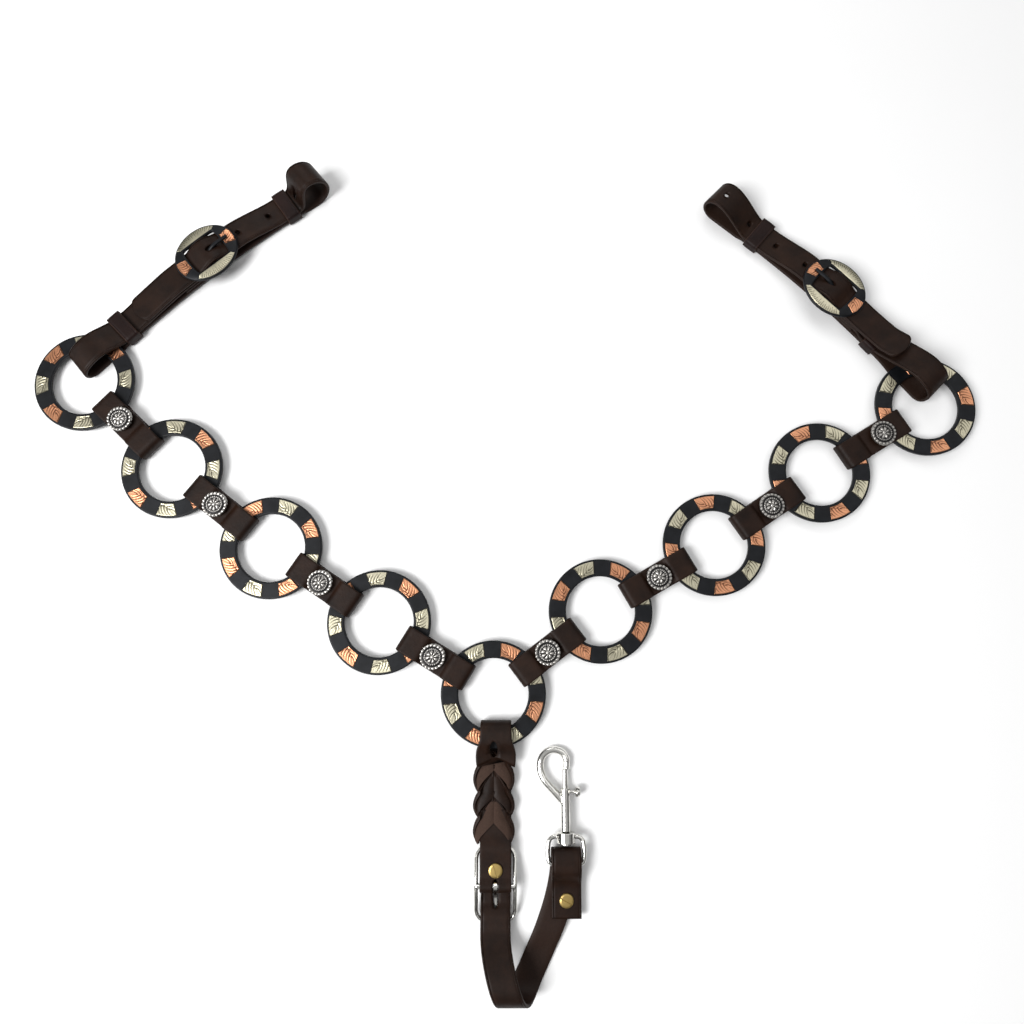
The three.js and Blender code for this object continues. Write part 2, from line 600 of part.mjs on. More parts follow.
// The lower strap runs from its billet under the bar, over the frame's lower end, up and over itself, and back to
// the snap. It crosses over to the snap's line on the way.
function lowerLeather() {
  const { bar, half } = DROP_BUCKLE;
  const over = LEVEL.floor + 2 * BEND.radius;
  const path = new THREE.Path();
  path.moveTo(bar - half - 2.5, HANG.billetEnd);
  path.lineTo(bar - half + 1.5, HANG.billetEnd);
  path.bezierCurveTo(bar - half + 6, HANG.billetEnd, bar - half + 6, HANG.billet, bar - half + 10, HANG.billet);
  path.lineTo(bar + half - 12, HANG.billet);
  path.bezierCurveTo(bar + half - 8, HANG.billet, bar + half - 7, HANG.billetEnd, bar + half - 2, HANG.billetEnd);
  path.lineTo(bar + half + 2, HANG.billetEnd);
  path.bezierCurveTo(bar + half + 14, HANG.billetEnd, BEND.at - 18, over, BEND.at, over);
  path.absarc(BEND.at, over - BEND.radius, BEND.radius, Math.PI / 2, -Math.PI / 2, true);
  path.lineTo(BEND.at - 16, LEVEL.floor);
  path.bezierCurveTo(BEND.at - 22, LEVEL.floor, BEND.at - 26, FOLD.low, BEND.at - 34, FOLD.low);
  path.lineTo(FOLD.at, FOLD.low);
  path.absarc(FOLD.at, FOLD.low + FOLD.radius, FOLD.radius, -Math.PI / 2, (-Math.PI * 3) / 2, true);
  const top = FOLD.low + 2 * FOLD.radius;
  path.lineTo(FOLD.at + 8, top);
  path.bezierCurveTo(FOLD.at + 14, top, FOLD.at + 15, FOLD.pinched, FOLD.at + 23, FOLD.pinched);
  path.lineTo(FOLD.end, FOLD.pinched);
  const begins = 58;
  const ends = 215;
  const reach = SNAP.x - DROP.x;
  const sideways = (x, length) => reach * THREE.MathUtils.smoothstep(length, begins, ends);
  const leather = strap(path, STRAP - 1, { longest: 9, sideways });
  const tongueSlot = block([bar + 1, -2, -1], [bar + 16.5, 2, 8]);
  const hole = uprightPin(BRASS.post + AIR, -1, 9, FOLD.screw, reach);
  return cut(leather, tongueSlot, hole);
}

function brassHead(seat, reach) {
  const { head, thick, post } = BRASS;
  const profile = [
    [0, reach],
    [post, reach],
    [post, seat],
    [head, seat],
    [head, seat + thick * 0.5],
    [head * 0.7, seat + thick],
    [0, seat + thick],
  ];
  return turned(profile, 16);
}

function brassBack(seat, reach) {
  const { back, backThick, post } = BRASS;
  const profile = [
    [0, seat - backThick],
    [back, seat - backThick],
    [back, seat],
    [post, seat],
    [post, reach],
    [0, reach],
  ];
  return turned(profile, 12);
}

// ---------------------------------------------------------------- snap
// Distances run up the snap from the eye's bar, on the snap's own axis.
function swivelEye() {
  const { wire, eyeReach, collarLow, collarHigh, collarRadius, bore } = SNAP;
  const bend = [
    [collarLow + 3.6, 4.6, 0],
    [collarLow + 4.2, 8.4, 0],
    [collarLow + 2.4, eyeReach - 1.2, 0],
    [collarLow - 2, eyeReach, 0],
    [4, eyeReach, 0],
    [1.2, eyeReach - 1, 0],
    [0, eyeReach - 3.6, 0],
    [0, 0, 0],
  ];
  const mirrored = bend.slice(0, -1).reverse().map(([x, y, z]) => [x, -y, z]);
  const tube = [
    [bore, collarLow],
    [collarRadius, collarLow],
    [collarRadius, collarHigh],
    [bore, collarHigh],
    [bore, collarLow],
  ];
  return join(rod([...bend, ...mirrored], wire, 34, 8), turned(tube, 24).rotateY(Math.PI / 2));
}

function snapBody() {
  const { collarLow, collarHigh, bore, shank, shankTop, hollow, hollowLow, boltTop, slotLow, slotHigh } = SNAP;
  const stem = bore - AIR;
  const profile = [
    [0, collarLow - 1.6],
    [stem + 1.4, collarLow - 1.6],
    [stem + 1.4, collarLow - 0.3],
    [stem, collarLow - 0.3],
    [stem, collarHigh + 0.3],
    [shank, collarHigh + 0.6],
    [shank, shankTop],
    [0, shankTop],
  ];
  const shaft = turned(profile, 20).rotateY(Math.PI / 2);
  const hook = [
    [40, 1, 0],
    [43.6, 3.8, 0],
    [48.8, 8.7, 0],
    [55.2, 14.5, 0],
    [61, 17.2, 0],
    [66, 17.8, 0],
    [71.6, 16.3, 0],
    [75.2, 12.4, 0],
    [76.3, 6.9, 0],
    [74.4, 1.7, 0],
    [70.5, -1, 0],
    [66.6, -1.2, 0],
    [boltTop + AIR, -0.9, 0],
  ];
  const drill = new THREE.CylinderGeometry(hollow, hollow, shankTop + 1 - hollowLow, 14).rotateZ(Math.PI / 2);
  drill.translate((shankTop + 1 + hollowLow) / 2, 0, 0);
  const slot = block([slotLow, -shank - 1, -1.4], [slotHigh, 0, 1.4]);
  return cut(join(shaft, rod(hook, 2.45, 28)), drill, slot);
}

function snapBolt() {
  const { boltLow, boltTop, bolt, knobAt } = SNAP;
  const shaft = new THREE.CylinderGeometry(bolt, bolt, boltTop - boltLow, 14).rotateZ(Math.PI / 2);
  shaft.translate((boltTop + boltLow) / 2, 0, 0);
  const profile = [
    [0, 0],
    [1.1, 0],
    [1.1, 6.6],
    [3.4, 7.2],
    [3.8, 8.6],
    [3.1, 10.4],
    [0, 10.9],
  ];
  const knob = turned(profile, 14).rotateX(Math.PI / 2).translate(knobAt, 0, 0);
  return join(shaft, knob);
}

function boltSpring() {
  const { hollowLow, boltLow } = SNAP;
  const turns = 6;
  const low = hollowLow + 0.6;
  const high = boltLow - 0.6;
  const perTurn = 8;
  const points = [...Array(turns * perTurn + 1).keys()].map((i) => {
    const angle = (2 * Math.PI * i) / perTurn;
    return [low + ((high - low) * i) / (turns * perTurn), 1.45 * Math.cos(angle), 1.45 * Math.sin(angle)];
  });
  return rod(points, 0.32, turns * perTurn, 4);
}

function addDrop() {
  const hung = frameAt(collar, DROP.x, 0, -90);
  place(hung, "drop_strap", dropLeather(), "leather");
  const head = brassHead(HANG.pinched + LEATHER / 2 + 0.2, HANG.return + 1.6);
  place(hung, "drop_screw", head.translate(DROP_BUCKLE.screw, 0, 0), "brass");
  const back = brassBack(HANG.return - LEATHER / 2 - 0.15, HANG.return + 1.3);
  place(hung, "drop_screw_back", back.translate(DROP_BUCKLE.screw, 0, 0), "brass");
  place(hung, "drop_buckle", dropBuckle(), "nickel");
  place(hung, "drop_tongue", dropTongue(), "nickel");
  place(hung, "lower_strap", lowerLeather(), "leather");
  const aside = SNAP.x - DROP.x;
  const snapHead = brassHead(FOLD.pinched + LEATHER / 2 + 0.2, FOLD.low + 1.4);
  place(hung, "snap_fold_screw", snapHead.translate(FOLD.screw, aside, 0), "brass");
  const snapBack = brassBack(FOLD.low - LEATHER / 2 - 0.15, FOLD.low + 1.1);
  place(hung, "snap_fold_screw_back", snapBack.translate(FOLD.screw, aside, 0), "brass");
  pivot("drop", hung, [BAND, 0, RING.level], [0, -1, 0]);
  pivot("drop_buckle", hung, [DROP_BUCKLE.bar, 0, HANG.bar], [0, -1, 0]);
  pivot("drop_tongue", hung, [DROP_BUCKLE.bar, 0, HANG.bar], [0, -1, 0]);
}

function addSnap() {
  const spot = frameAt(collar, SNAP.x, -SNAP.bar, 90);
  spot.position.z = SNAP.level;
  const line = new THREE.Group();
  line.rotation.y = THREE.MathUtils.degToRad(SNAP.tilt);
  spot.add(line);
  place(line, "snap_eye", swivelEye(), "nickel");
  place(line, "snap_body", snapBody(), "nickel");
  place(line, "snap_bolt", snapBolt(), "nickel");
  place(line, "snap_spring", boltSpring(), "nickel");
  pivot("snap_eye", line, [0, 0, 0], [0, -1, 0]);
  pivot("snap_swivel", line, [SNAP.collarHigh, 0, 0], [1, 0, 0]);
  pivot("snap_bolt", line, [SNAP.boltLow, 0, 0], [-1, 0, 0]);
}

// ---------------------------------------------------------------- build
addRing("centre_ring", 0, 0);
const ends = {};
for (const [label, arm] of Object.entries(ARMS)) {
  ends[label] = addArm(label, arm);
}
for (const [label, tug] of Object.entries(TUGS)) {
  addTug(label, tug, ends[label]);
}
addDrop();
addSnap();

// The origin goes to the bottom centre of the collar's box, and the pivots move with it.
const box = new THREE.Box3().setFromObject(collar, true);
const origin = box.getCenter(new THREE.Vector3()).setZ(box.min.z);
collar.children.forEach((child) => child.position.sub(origin));
Object.values(pivots).forEach(({ at }) => at.sub(origin));

export { pivots };
export default collar;
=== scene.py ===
# Western ring breast collar, laid flat: blackened rings with engraved copper and silver plates, leather tabs
# with conchos, two buckled tugs and a braided centre drop with a bolt snap.
import math
import bmesh
import bpy
import numpy as np
from mathutils import Matrix, Vector


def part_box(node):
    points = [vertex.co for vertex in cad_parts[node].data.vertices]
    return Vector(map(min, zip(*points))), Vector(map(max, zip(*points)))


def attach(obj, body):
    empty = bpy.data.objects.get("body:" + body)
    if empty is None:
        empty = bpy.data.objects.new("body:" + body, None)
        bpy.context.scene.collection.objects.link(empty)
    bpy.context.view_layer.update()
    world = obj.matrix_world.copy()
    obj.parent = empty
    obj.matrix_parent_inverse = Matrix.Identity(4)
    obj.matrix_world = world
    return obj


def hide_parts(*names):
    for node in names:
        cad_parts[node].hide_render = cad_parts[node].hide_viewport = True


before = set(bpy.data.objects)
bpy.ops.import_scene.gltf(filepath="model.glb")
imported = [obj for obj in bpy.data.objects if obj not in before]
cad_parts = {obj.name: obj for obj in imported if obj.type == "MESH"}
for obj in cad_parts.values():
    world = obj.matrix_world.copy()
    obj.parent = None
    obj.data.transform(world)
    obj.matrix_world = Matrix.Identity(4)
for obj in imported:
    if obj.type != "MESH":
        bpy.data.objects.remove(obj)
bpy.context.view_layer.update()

# ---------------------------------------------------------------- driving sizes, in millimetres
MM = 0.001
LEATHER = 2.4
RING = {"outer": 38.1, "inner": 25.5, "thick": 3.2, "level": 5.5}
PLATE = {"inner": 27.3, "outer": 36.7, "inner_half": 5.0, "outer_half": 8.1, "rise": 0.55, "count": 8}
TAB = {"width": 20, "half": 28.7, "pocket": 3.4, "waist": 3.7, "waist_end": 8.9, "full_at": 12.2}
CONCHO = {"radius": 9.5}
STRAP = 22
KEEPER = {"length": 11.5, "wall": 1.5, "across": 23}
OVAL = {"length": 52, "width": 42, "thick": 2.8, "window": 30, "opening": 23.2, "lug": 3.2}
HOLE_PITCH = 27
TUGS = {
    "left": {"heading": 40.3, "across": 12, "bow": 7, "ring_end": 3.2, "ring_loop": 16, "ring_keeper": 49.3,
             "tip": 63.5, "buckle": 135.5, "saddle_keeper": 208, "saddle_end": 243.5, "saddle_loop": 28.8},
    "right": {"heading": 135.4, "across": -12, "bow": -6.7, "ring_end": 3.2, "ring_loop": 23.5,
              "ring_keeper": 62.5, "tip": 42, "buckle": 112.8, "saddle_keeper": 184.5, "saddle_end": 233,
              "saddle_loop": 21.5},
}
STEP = LEATHER + 0.4
FLOOR, UNDER = LEATHER / 2, 3.0
TURNED = UNDER + STEP
BAR = TURNED + 3.9
LOWER = TURNED + STEP
BILLET = LOWER + STEP
CREST = BAR + 6.7
FRAME = BILLET + LEATHER / 2 + 0.4

# The angle of each ring's first silver plate, counter-clockwise from +X, in degrees.
SILVER_AT = {
    "left_ring_4": 4, "left_ring_3": 88, "left_ring_2": 70, "left_ring_1": 4, "centre_ring": 24,
    "right_ring_1": 19.5, "right_ring_2": 55, "right_ring_3": 67.5, "right_ring_4": 58.5,
}


def middle(node):
    low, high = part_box(node)
    return Vector(((low[0] + high[0]) / 2, (low[1] + high[1]) / 2, 0))


# ---------------------------------------------------------------- materials
def nodes_of(name):
    material = bpy.data.materials.new(name)
    material.use_nodes = True
    tree = material.node_tree
    shader = tree.nodes["Principled BSDF"]
    return material, tree, shader


def add(tree, kind, inputs=None, **settings):
    node = tree.nodes.new(kind)
    for key, value in settings.items():
        setattr(node, key, value)
    for key, value in (inputs or {}).items():
        if isinstance(value, bpy.types.NodeSocket):
            tree.links.new(value, node.inputs[key])
        else:
            node.inputs[key].default_value = value
    return node


def noise(tree, scale, detail=4.0, roughness=0.6, stretch=(1, 1, 1)):
    place = add(tree, "ShaderNodeTexCoord")
    scaled = add(tree, "ShaderNodeMapping", {"Vector": place.outputs["Object"], "Scale": stretch})
    texture = add(tree, "ShaderNodeTexNoise",
                  {"Vector": scaled.outputs["Vector"], "Scale": scale, "Detail": detail,
                   "Roughness": roughness})
    return texture.outputs["Fac"]


def cells(tree, scale):
    place = add(tree, "ShaderNodeTexCoord")
    texture = add(tree, "ShaderNodeTexVoronoi", {"Vector": place.outputs["Object"], "Scale": scale},
                  feature="DISTANCE_TO_EDGE")
    return texture.outputs["Distance"]


def ramp(tree, factor, *stops):
    node = add(tree, "ShaderNodeValToRGB", {"Fac": factor})
    elements = node.color_ramp.elements
    while len(elements) < len(stops):
        elements.new(0.5)
    for element, (position, colour) in zip(elements, stops):
        element.position = position
        element.color = (*colour, 1)
    return node.outputs["Color"]


def blend_colours(tree, factor, first, second):
    node = add(tree, "ShaderNodeMix", data_type="RGBA")
    for socket, value in ((node.inputs[0], factor), (node.inputs[6], first), (node.inputs[7], second)):
        if isinstance(value, bpy.types.NodeSocket):
            tree.links.new(value, socket)
        else:
            socket.default_value = value if isinstance(value, float) else (*value, 1)
    return node.outputs[2]


def attribute(tree, name):
    return add(tree, "ShaderNodeAttribute", attribute_name=name).outputs["Fac"]


def bumped(tree, shader, *layers):
    normal = None
    for height, strength, distance in layers:
        inputs = {"Height": height, "Strength": strength, "Distance": distance}
        if normal is not None:
            inputs["Normal"] = normal
        normal = add(tree, "ShaderNodeBump", inputs).outputs["Normal"]
    tree.links.new(normal, shader.inputs["Normal"])


def leather_material(name, dark, light, flesh, roughness):
    """Oiled leather: pores and creases on the grain, paler fibres where the flesh side or an edge shows. For
    the dark leather those fibres are darkened as painted shade for loop insides and undersides.
    """
    material, tree, shader = nodes_of(name)
    mottled = ramp(tree, noise(tree, 70, 6), (0.3, dark), (0.7, light))
    # Flesh-side and edge colour: real fibres, and for the dark leather also painted shade.
    fibres = ramp(tree, noise(tree, 900, 5, 0.7), (0.35, tuple(0.7 * c for c in flesh)), (0.7, flesh))
    tree.links.new(blend_colours(tree, attribute(tree, "flesh"), mottled, fibres),
                   shader.inputs["Base Color"])
    sheen_map = add(tree, "ShaderNodeMapRange", {"Value": noise(tree, 110, 5), "To Min": roughness - 0.12,
                                                 "To Max": roughness + 0.14})
    tree.links.new(sheen_map.outputs["Result"], shader.inputs["Roughness"])
    shader.inputs["Specular IOR Level"].default_value = 0.16
    bumped(tree, shader, (cells(tree, 1500), 0.22, 0.00025), (noise(tree, 380, 6, 0.65), 0.32, 0.0005))
    return material


def metal_material(name, colour, dirt, roughness, scratch=0.12):
    """Metal plate: brushed faintly, with dark dirt where the attribute "cut" says the engraving lies."""
    material, tree, shader = nodes_of(name)
    shader.inputs["Metallic"].default_value = 1.0
    toned = ramp(tree, noise(tree, 160, 5), (0.3, tuple(0.82 * c for c in colour)), (0.75, colour))
    tree.links.new(blend_colours(tree, attribute(tree, "cut"), toned, dirt), shader.inputs["Base Color"])
    worn = add(tree, "ShaderNodeMapRange", {"Value": noise(tree, 240, 6), "To Min": roughness - 0.07,
                                            "To Max": roughness + 0.12})
    tree.links.new(worn.outputs["Result"], shader.inputs["Roughness"])
    bumped(tree, shader, (noise(tree, 1500, 4, 0.6, (1, 6, 1)), scratch, 0.0001))
    return material


def steel_material():
    material, tree, shader = nodes_of("blackened_steel")
    shader.inputs["Metallic"].default_value = 0.25
    shader.inputs["Specular IOR Level"].default_value = 0.22
    toned = ramp(tree, noise(tree, 120, 6), (0.3, (0.004, 0.0045, 0.0055)), (0.75, (0.011, 0.012, 0.0145)))
    tree.links.new(toned, shader.inputs["Base Color"])
    worn = add(tree, "ShaderNodeMapRange", {"Value": noise(tree, 300, 6), "To Min": 0.34, "To Max": 0.56})
    tree.links.new(worn.outputs["Result"], shader.inputs["Roughness"])
    bumped(tree, shader, (noise(tree, 900, 5), 0.16, 0.0002))
    return material


def floor_material():
    material, tree, shader = nodes_of("studio_floor")
    tree.links.new(ramp(tree, noise(tree, 3, 2), (0.2, (0.90, 0.90, 0.90)), (0.8, (0.93, 0.93, 0.93))),
                   shader.inputs["Base Color"])
    shader.inputs["Roughness"].default_value = 0.9
    return material


LOOKS = {
    # Dark leather: its flesh colour is darker than the bare fibres, as painted shade inside loops and under
    # the straps.
    "leather": leather_material("dark_leather", (0.0060, 0.0023, 0.0011), (0.0185, 0.0076, 0.0038),
                                (0.024, 0.012, 0.008), 0.5),
    "suede": leather_material("flesh_leather", (0.018, 0.010, 0.0072), (0.046, 0.027, 0.020),
                              (0.058, 0.034, 0.025), 0.85),
    "keeper": leather_material("keeper_leather", (0.0065, 0.0024, 0.0019), (0.0145, 0.0054, 0.0042),
                               (0.07, 0.036, 0.024), 0.48),
    "steel": steel_material(),
    "copper": metal_material("copper_plate", (0.76, 0.36, 0.20), (0.09, 0.03, 0.018), 0.32),
    "german_silver": metal_material("german_silver_plate", (0.62, 0.58, 0.43), (0.05, 0.043, 0.026), 0.32),
    "antique": metal_material("antique_silver", (0.52, 0.50, 0.47), (0.02, 0.019, 0.02), 0.34),
    "nickel": metal_material("nickel_plate", (0.80, 0.79, 0.75), (0.2, 0.2, 0.2), 0.14, 0.04),
    "brass": metal_material("aged_brass", (0.50, 0.36, 0.13), (0.08, 0.05, 0.02), 0.36),
}


# ---------------------------------------------------------------- mesh helpers
def mesh_object(name, points, faces, looks, attributes=None, face_looks=None):
    """A mesh from points in millimetres, with named numbers on its points."""
    mesh = bpy.data.meshes.new(name)
    mesh.from_pydata([tuple(MM * c for c in p) for p in points], [], faces)
    for key, values in (attributes or {}).items():
        mesh.attributes.new(key, "FLOAT", "POINT").data.foreach_set("value", values)
    for look in looks if isinstance(looks, tuple) else (looks,):
        mesh.materials.append(LOOKS[look])
    if face_looks:
        mesh.polygons.foreach_set("material_index", face_looks)
    mesh.polygons.foreach_set("use_smooth", [True] * len(mesh.polygons))
    piece = bpy.data.objects.new(name, mesh)
    bpy.context.scene.collection.objects.link(piece)
    return piece


class Place:
    """A flat frame: an origin in millimetres and a heading in degrees."""

    def __init__(self, origin, heading=0.0):
        self.origin = np.array([origin[0], origin[1], origin[2] if len(origin) > 2 else 0.0])
        self.heading = heading
        turn = math.radians(heading)
        self.along = np.array([math.cos(turn), math.sin(turn), 0])
        self.beside = np.array([-math.sin(turn), math.cos(turn), 0])

    def out(self, points):
        points = np.asarray(points, float)
        up = np.array([0, 0, 1.0])
        return self.origin + points[:, :1] * self.along + points[:, 1:2] * self.beside + points[:, 2:3] * up

    def at(self, x, y=0.0, turn=0.0):
        return Place(self.origin + x * self.along + y * self.beside, self.heading + turn)


def place_of(node, heading=0.0):
    return Place(np.array(middle(node)) / MM, heading)


def line(start, end, count):
    return [tuple(np.array(start) + (np.array(end) - np.array(start)) * i / count) for i in range(count)]


def curve(start, first, second, end, count):
    """Points of a cubic Bezier curve, without its last point."""
    p = [np.array(q, float) for q in (start, first, second, end)]
    found = []
    for i in range(count):
        t = i / count
        u = 1 - t
        found.append(tuple(u**3 * p[0] + 3 * t * u**2 * p[1] + 3 * t * t * u * p[2] + t**3 * p[3]))
    return found


def arc(centre, radius, start, end, count):
    angles = [math.radians(start + (end - start) * i / count) for i in range(count)]
    return [(centre[0] + radius * math.cos(a), centre[1] + radius * math.sin(a)) for a in angles]


def spaced(points, step, closed=False):
    """The same path with evenly spaced points, a little smoothed."""
    points = [np.array(p, float) for p in points]
    if closed:
        points.append(points[0])
    kept = [points[0]]
    for p in points[1:]:
        if np.linalg.norm(p - kept[-1]) > 0.02:
            kept.append(p)
    points = np.array(kept)
    lengths = np.r_[0, np.cumsum(np.linalg.norm(np.diff(points, axis=0), axis=1))]
    count = max(8, round(lengths[-1] / step))
    marks = np.linspace(0, lengths[-1], count + 1)
    even = np.stack([np.interp(marks, lengths, points[:, i]) for i in range(points.shape[1])], 1)
    if closed:
        even = even[:-1]
    for _ in range(3):
        before, after = np.roll(even, 1, 0), np.roll(even, -1, 0)
        smoothed = (before + 2 * even + after) / 4
        if not closed:
            smoothed[0], smoothed[-1] = even[0], even[-1]
        even = smoothed
    return even


def section(width, thickness, crease):
    """Half-rounded strap section: points (across, height, flesh or edge), starting on the grain side."""
    half, thick, soft = width / 2, thickness / 2, min(0.8, 0.42 * thickness)

    def groove_at(x):
        return [(x - 0.45, thick, 0), (x, thick - 0.3, 0), (x + 0.45, thick, 0)] if crease else []
    reach = half - crease - 1.4 if crease else half - 2
    top = [(-half + soft, thick, 0.12), (-half + soft + 0.5, thick, 0), *groove_at(crease - half)]
    top += [(x, thick, 0) for x in np.linspace(-reach, reach, 5 if crease else 7)]
    top += [*groove_at(half - crease), (half - soft - 0.5, thick, 0), (half - soft, thick, 0.12)]
    right = [(half - soft * 0.3, thick - soft * 0.3, 0.5), (half, thick - soft, 0.75),
             (half, soft - thick, 0.75), (half - soft * 0.3, soft * 0.3 - thick, 0.85)]
    bottom = [(x, -thick, 1) for x in np.linspace(half - soft, soft - half, 6)]
    left = [(-x, z, f) for x, z, f in reversed(right)]
    return top + right + bottom + left


def tube_faces(count, n, closed=False):
    """Faces round a run of sections of n points each, with end caps unless the run closes on itself."""
    faces = []
    for i in range(count if closed else count - 1):
        a, b = i * n, ((i + 1) % count) * n
        faces += [(a + k, a + (k + 1) % n, b + (k + 1) % n, b + k) for k in range(n)]
    if not closed:
        faces += [tuple(reversed(range(n))), tuple(range((count - 1) * n, count * n))]
    return faces


def strap(name, place, path, width, look, thickness=LEATHER, crease=1.7, sideways=None, step=1.3,
          closed=False, width_at=None, flip=False):
    """A leather strap along a side-view path of (along, height) points, its grain on the path's left."""
    spine = spaced(path, step, closed)
    count = len(spine)
    ahead = np.roll(spine, -1, 0) - np.roll(spine, 1, 0)
    if not closed:
        ahead[0], ahead[-1] = spine[1] - spine[0], spine[-1] - spine[-2]
    ahead /= np.linalg.norm(ahead, axis=1)[:, None]
    normal = np.stack([-ahead[:, 1], ahead[:, 0]], 1) * (-1 if flip else 1)
    lengths = np.r_[0, np.cumsum(np.linalg.norm(np.diff(spine, axis=0), axis=1))]
    ring = section(width, thickness, crease)
    points, flesh = [], []
    for i in range(count):
        aside = sideways(spine[i][0], lengths[i]) if sideways else 0.0
        factor = width_at(lengths[i], lengths[-1]) if width_at else 1.0
        for x, z, f in ring:
            points.append((spine[i][0] + normal[i][0] * z, aside + x * factor,
                           spine[i][1] + normal[i][1] * z))
            flesh.append(f)
    faces = tube_faces(count, len(ring), closed)
    return outward(mesh_object(name, place.out(points), faces, look, {"flesh": flesh}))


def outward(piece, weld=0.0):
    """Turns a mesh's faces outward, after joining the points that lie within the distance weld."""
    bm = bmesh.new()
    bm.from_mesh(piece.data)
    if weld:
        bmesh.ops.remove_doubles(bm, verts=bm.verts, dist=weld)
        bmesh.ops.dissolve_degenerate(bm, edges=bm.edges, dist=1e-7)
    bmesh.ops.recalc_face_normals(bm, faces=bm.faces)
    bm.to_mesh(piece.data)
    bm.free()
    return piece


def rounded_tip(reach):
    """Width factor that rounds a strap's far end over the last stretch of it."""
    def factor(at, total):
        left = (total - at) / reach
        return 1.0 if left >= 1 else max(0.12, math.sqrt(max(0.0, 1 - (1 - left) ** 2.6)))
    return factor


def apply_modifiers(piece):
    graph = bpy.context.evaluated_depsgraph_get()
    mesh = bpy.data.meshes.new_from_object(piece.evaluated_get(graph))
    piece.modifiers.clear()
    piece.data = mesh
    return piece


def cut_away(piece, place, bm, look):
    """Cuts the solids in bm, which are in the place's frame, out of a piece."""
    for vert, point in zip(bm.verts, place.out([tuple(v.co) for v in bm.verts])):
        vert.co = Vector(point) * MM
    cutter = mesh_object("cutter", [(0, 0, 0)], [], look)
    bm.to_mesh(cutter.data)
    bm.free()
    cut = piece.modifiers.new("cut", "BOOLEAN")
    cut.object = cutter
    cut.operation = "DIFFERENCE"
    cut.solver = "EXACT"
    apply_modifiers(piece)
    bpy.data.objects.remove(cutter)
    return piece


def pierce(piece, place, holes):
    """Punches round or long holes: (x, y, radius, low, high, stretch along)."""
    bm = bmesh.new()
    for x, y, radius, low, high, stretch in holes:
        bore = bmesh.ops.create_cone(bm, cap_ends=True, segments=20, radius1=radius, radius2=radius,
                                     depth=high - low)
        spot = Matrix.Translation((x, y, (low + high) / 2)) @ Matrix.Diagonal((stretch, 1, 1, 1))
        bmesh.ops.transform(bm, matrix=spot, verts=bore["verts"])
    return cut_away(piece, place, bm, "leather")


def grid(columns, rows, close=False):
    faces = []
    for i in range(columns - (0 if close else 1)):
        for j in range(rows - 1):
            a, b = i * rows + j, ((i + 1) % columns) * rows + j
            faces.append((a, b, b + 1, a + 1))
    return faces


def turned_faces(sides, n):
    """Faces of a closed outline of n points that goes once round an axis."""
    faces = []
    for i in range(sides):
        a, b = i * n, ((i + 1) % sides) * n
        faces += [(a + k, b + k, b + (k + 1) % n, a + (k + 1) % n) for k in range(n)]
    return faces


def lathe(profile, sides):
    """Points and faces of a closed profile of (radius, height) turned about the upright axis."""
    points = []
    for i in range(sides):
        angle = 2 * math.pi * i / sides
        points += [(r * math.cos(angle), r * math.sin(angle), z) for r, z in profile]
    return points, turned_faces(sides, len(profile))


def cast(node, look, voxel, rounds=4):
    """A cast or drawn metal piece: the CAD shape with its edges melted round."""
    piece = bpy.data.objects.new(node + "_cast", bpy.data.objects[node].data.copy())
    bpy.context.scene.collection.objects.link(piece)
    remesh = piece.modifiers.new("remesh", "REMESH")
    remesh.mode = "VOXEL"
    remesh.voxel_size = voxel * MM
    smooth = piece.modifiers.new("smooth", "SMOOTH")
    smooth.iterations = rounds
    apply_modifiers(piece)
    piece.data.materials.clear()
    piece.data.materials.append(LOOKS[look])
    piece.data.polygons.foreach_set("use_smooth", [True] * len(piece.data.polygons))
    return piece


def settle(piece, body, slot, *nodes):
    """Rides a piece on its body, in place of its CAD nodes."""
    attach(piece, body)
    if nodes:
        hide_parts(*nodes)
    return piece


# ---------------------------------------------------------------- engraving
def strokes_of(*beziers):
    """Points along a few engraved strokes."""
    return [np.array(curve(*ends, 14) + [ends[3]]) for ends in beziers]


def groove(strokes, x, y, width):
    """Depth of the engraving at a point, 0 to 1: a V cut along each stroke that thins out to its end."""
    deepest = 0.0
    for points in strokes:
        gap = np.hypot(points[:, 0] - x, points[:, 1] - y)
        nearest = int(gap.argmin())
        reach = width * (1.15 - 0.7 * nearest / len(points))
        deepest = max(deepest, 1 - gap[nearest] / reach)
    return max(0.0, deepest)


# A leaf spray: a curved stem with veins that fan out of it, drawn within about 7 by 3.5 mm of the middle.
LEAF = strokes_of(
    ((-6.2, -2.6), (-3, -3.4), (1, -1.6), (5.8, 2.8)),
    ((-4.4, -2.8), (-4.6, -0.6), (-3.6, 1.4), (-1.6, 3.0)),
    ((-2.2, -2.5), (-2.2, -0.6), (-1.0, 1.6), (1.2, 3.1)),
    ((0.0, -1.7), (0.2, 0.0), (1.4, 1.8), (3.2, 3.2)),
    ((-3.2, -2.9), (-1.0, -3.9), (1.6, -3.6), (3.6, -2.8)),
    ((-0.6, -2.0), (1.4, -2.8), (3.6, -2.2), (5.4, -0.9)),
    ((1.6, -0.9), (3.2, -1.0), (4.8, -0.2), (6.2, 1.0)),
    ((-6.0, -1.2), (-6.2, 0.4), (-5.4, 1.8), (-4.2, 2.9)),
)


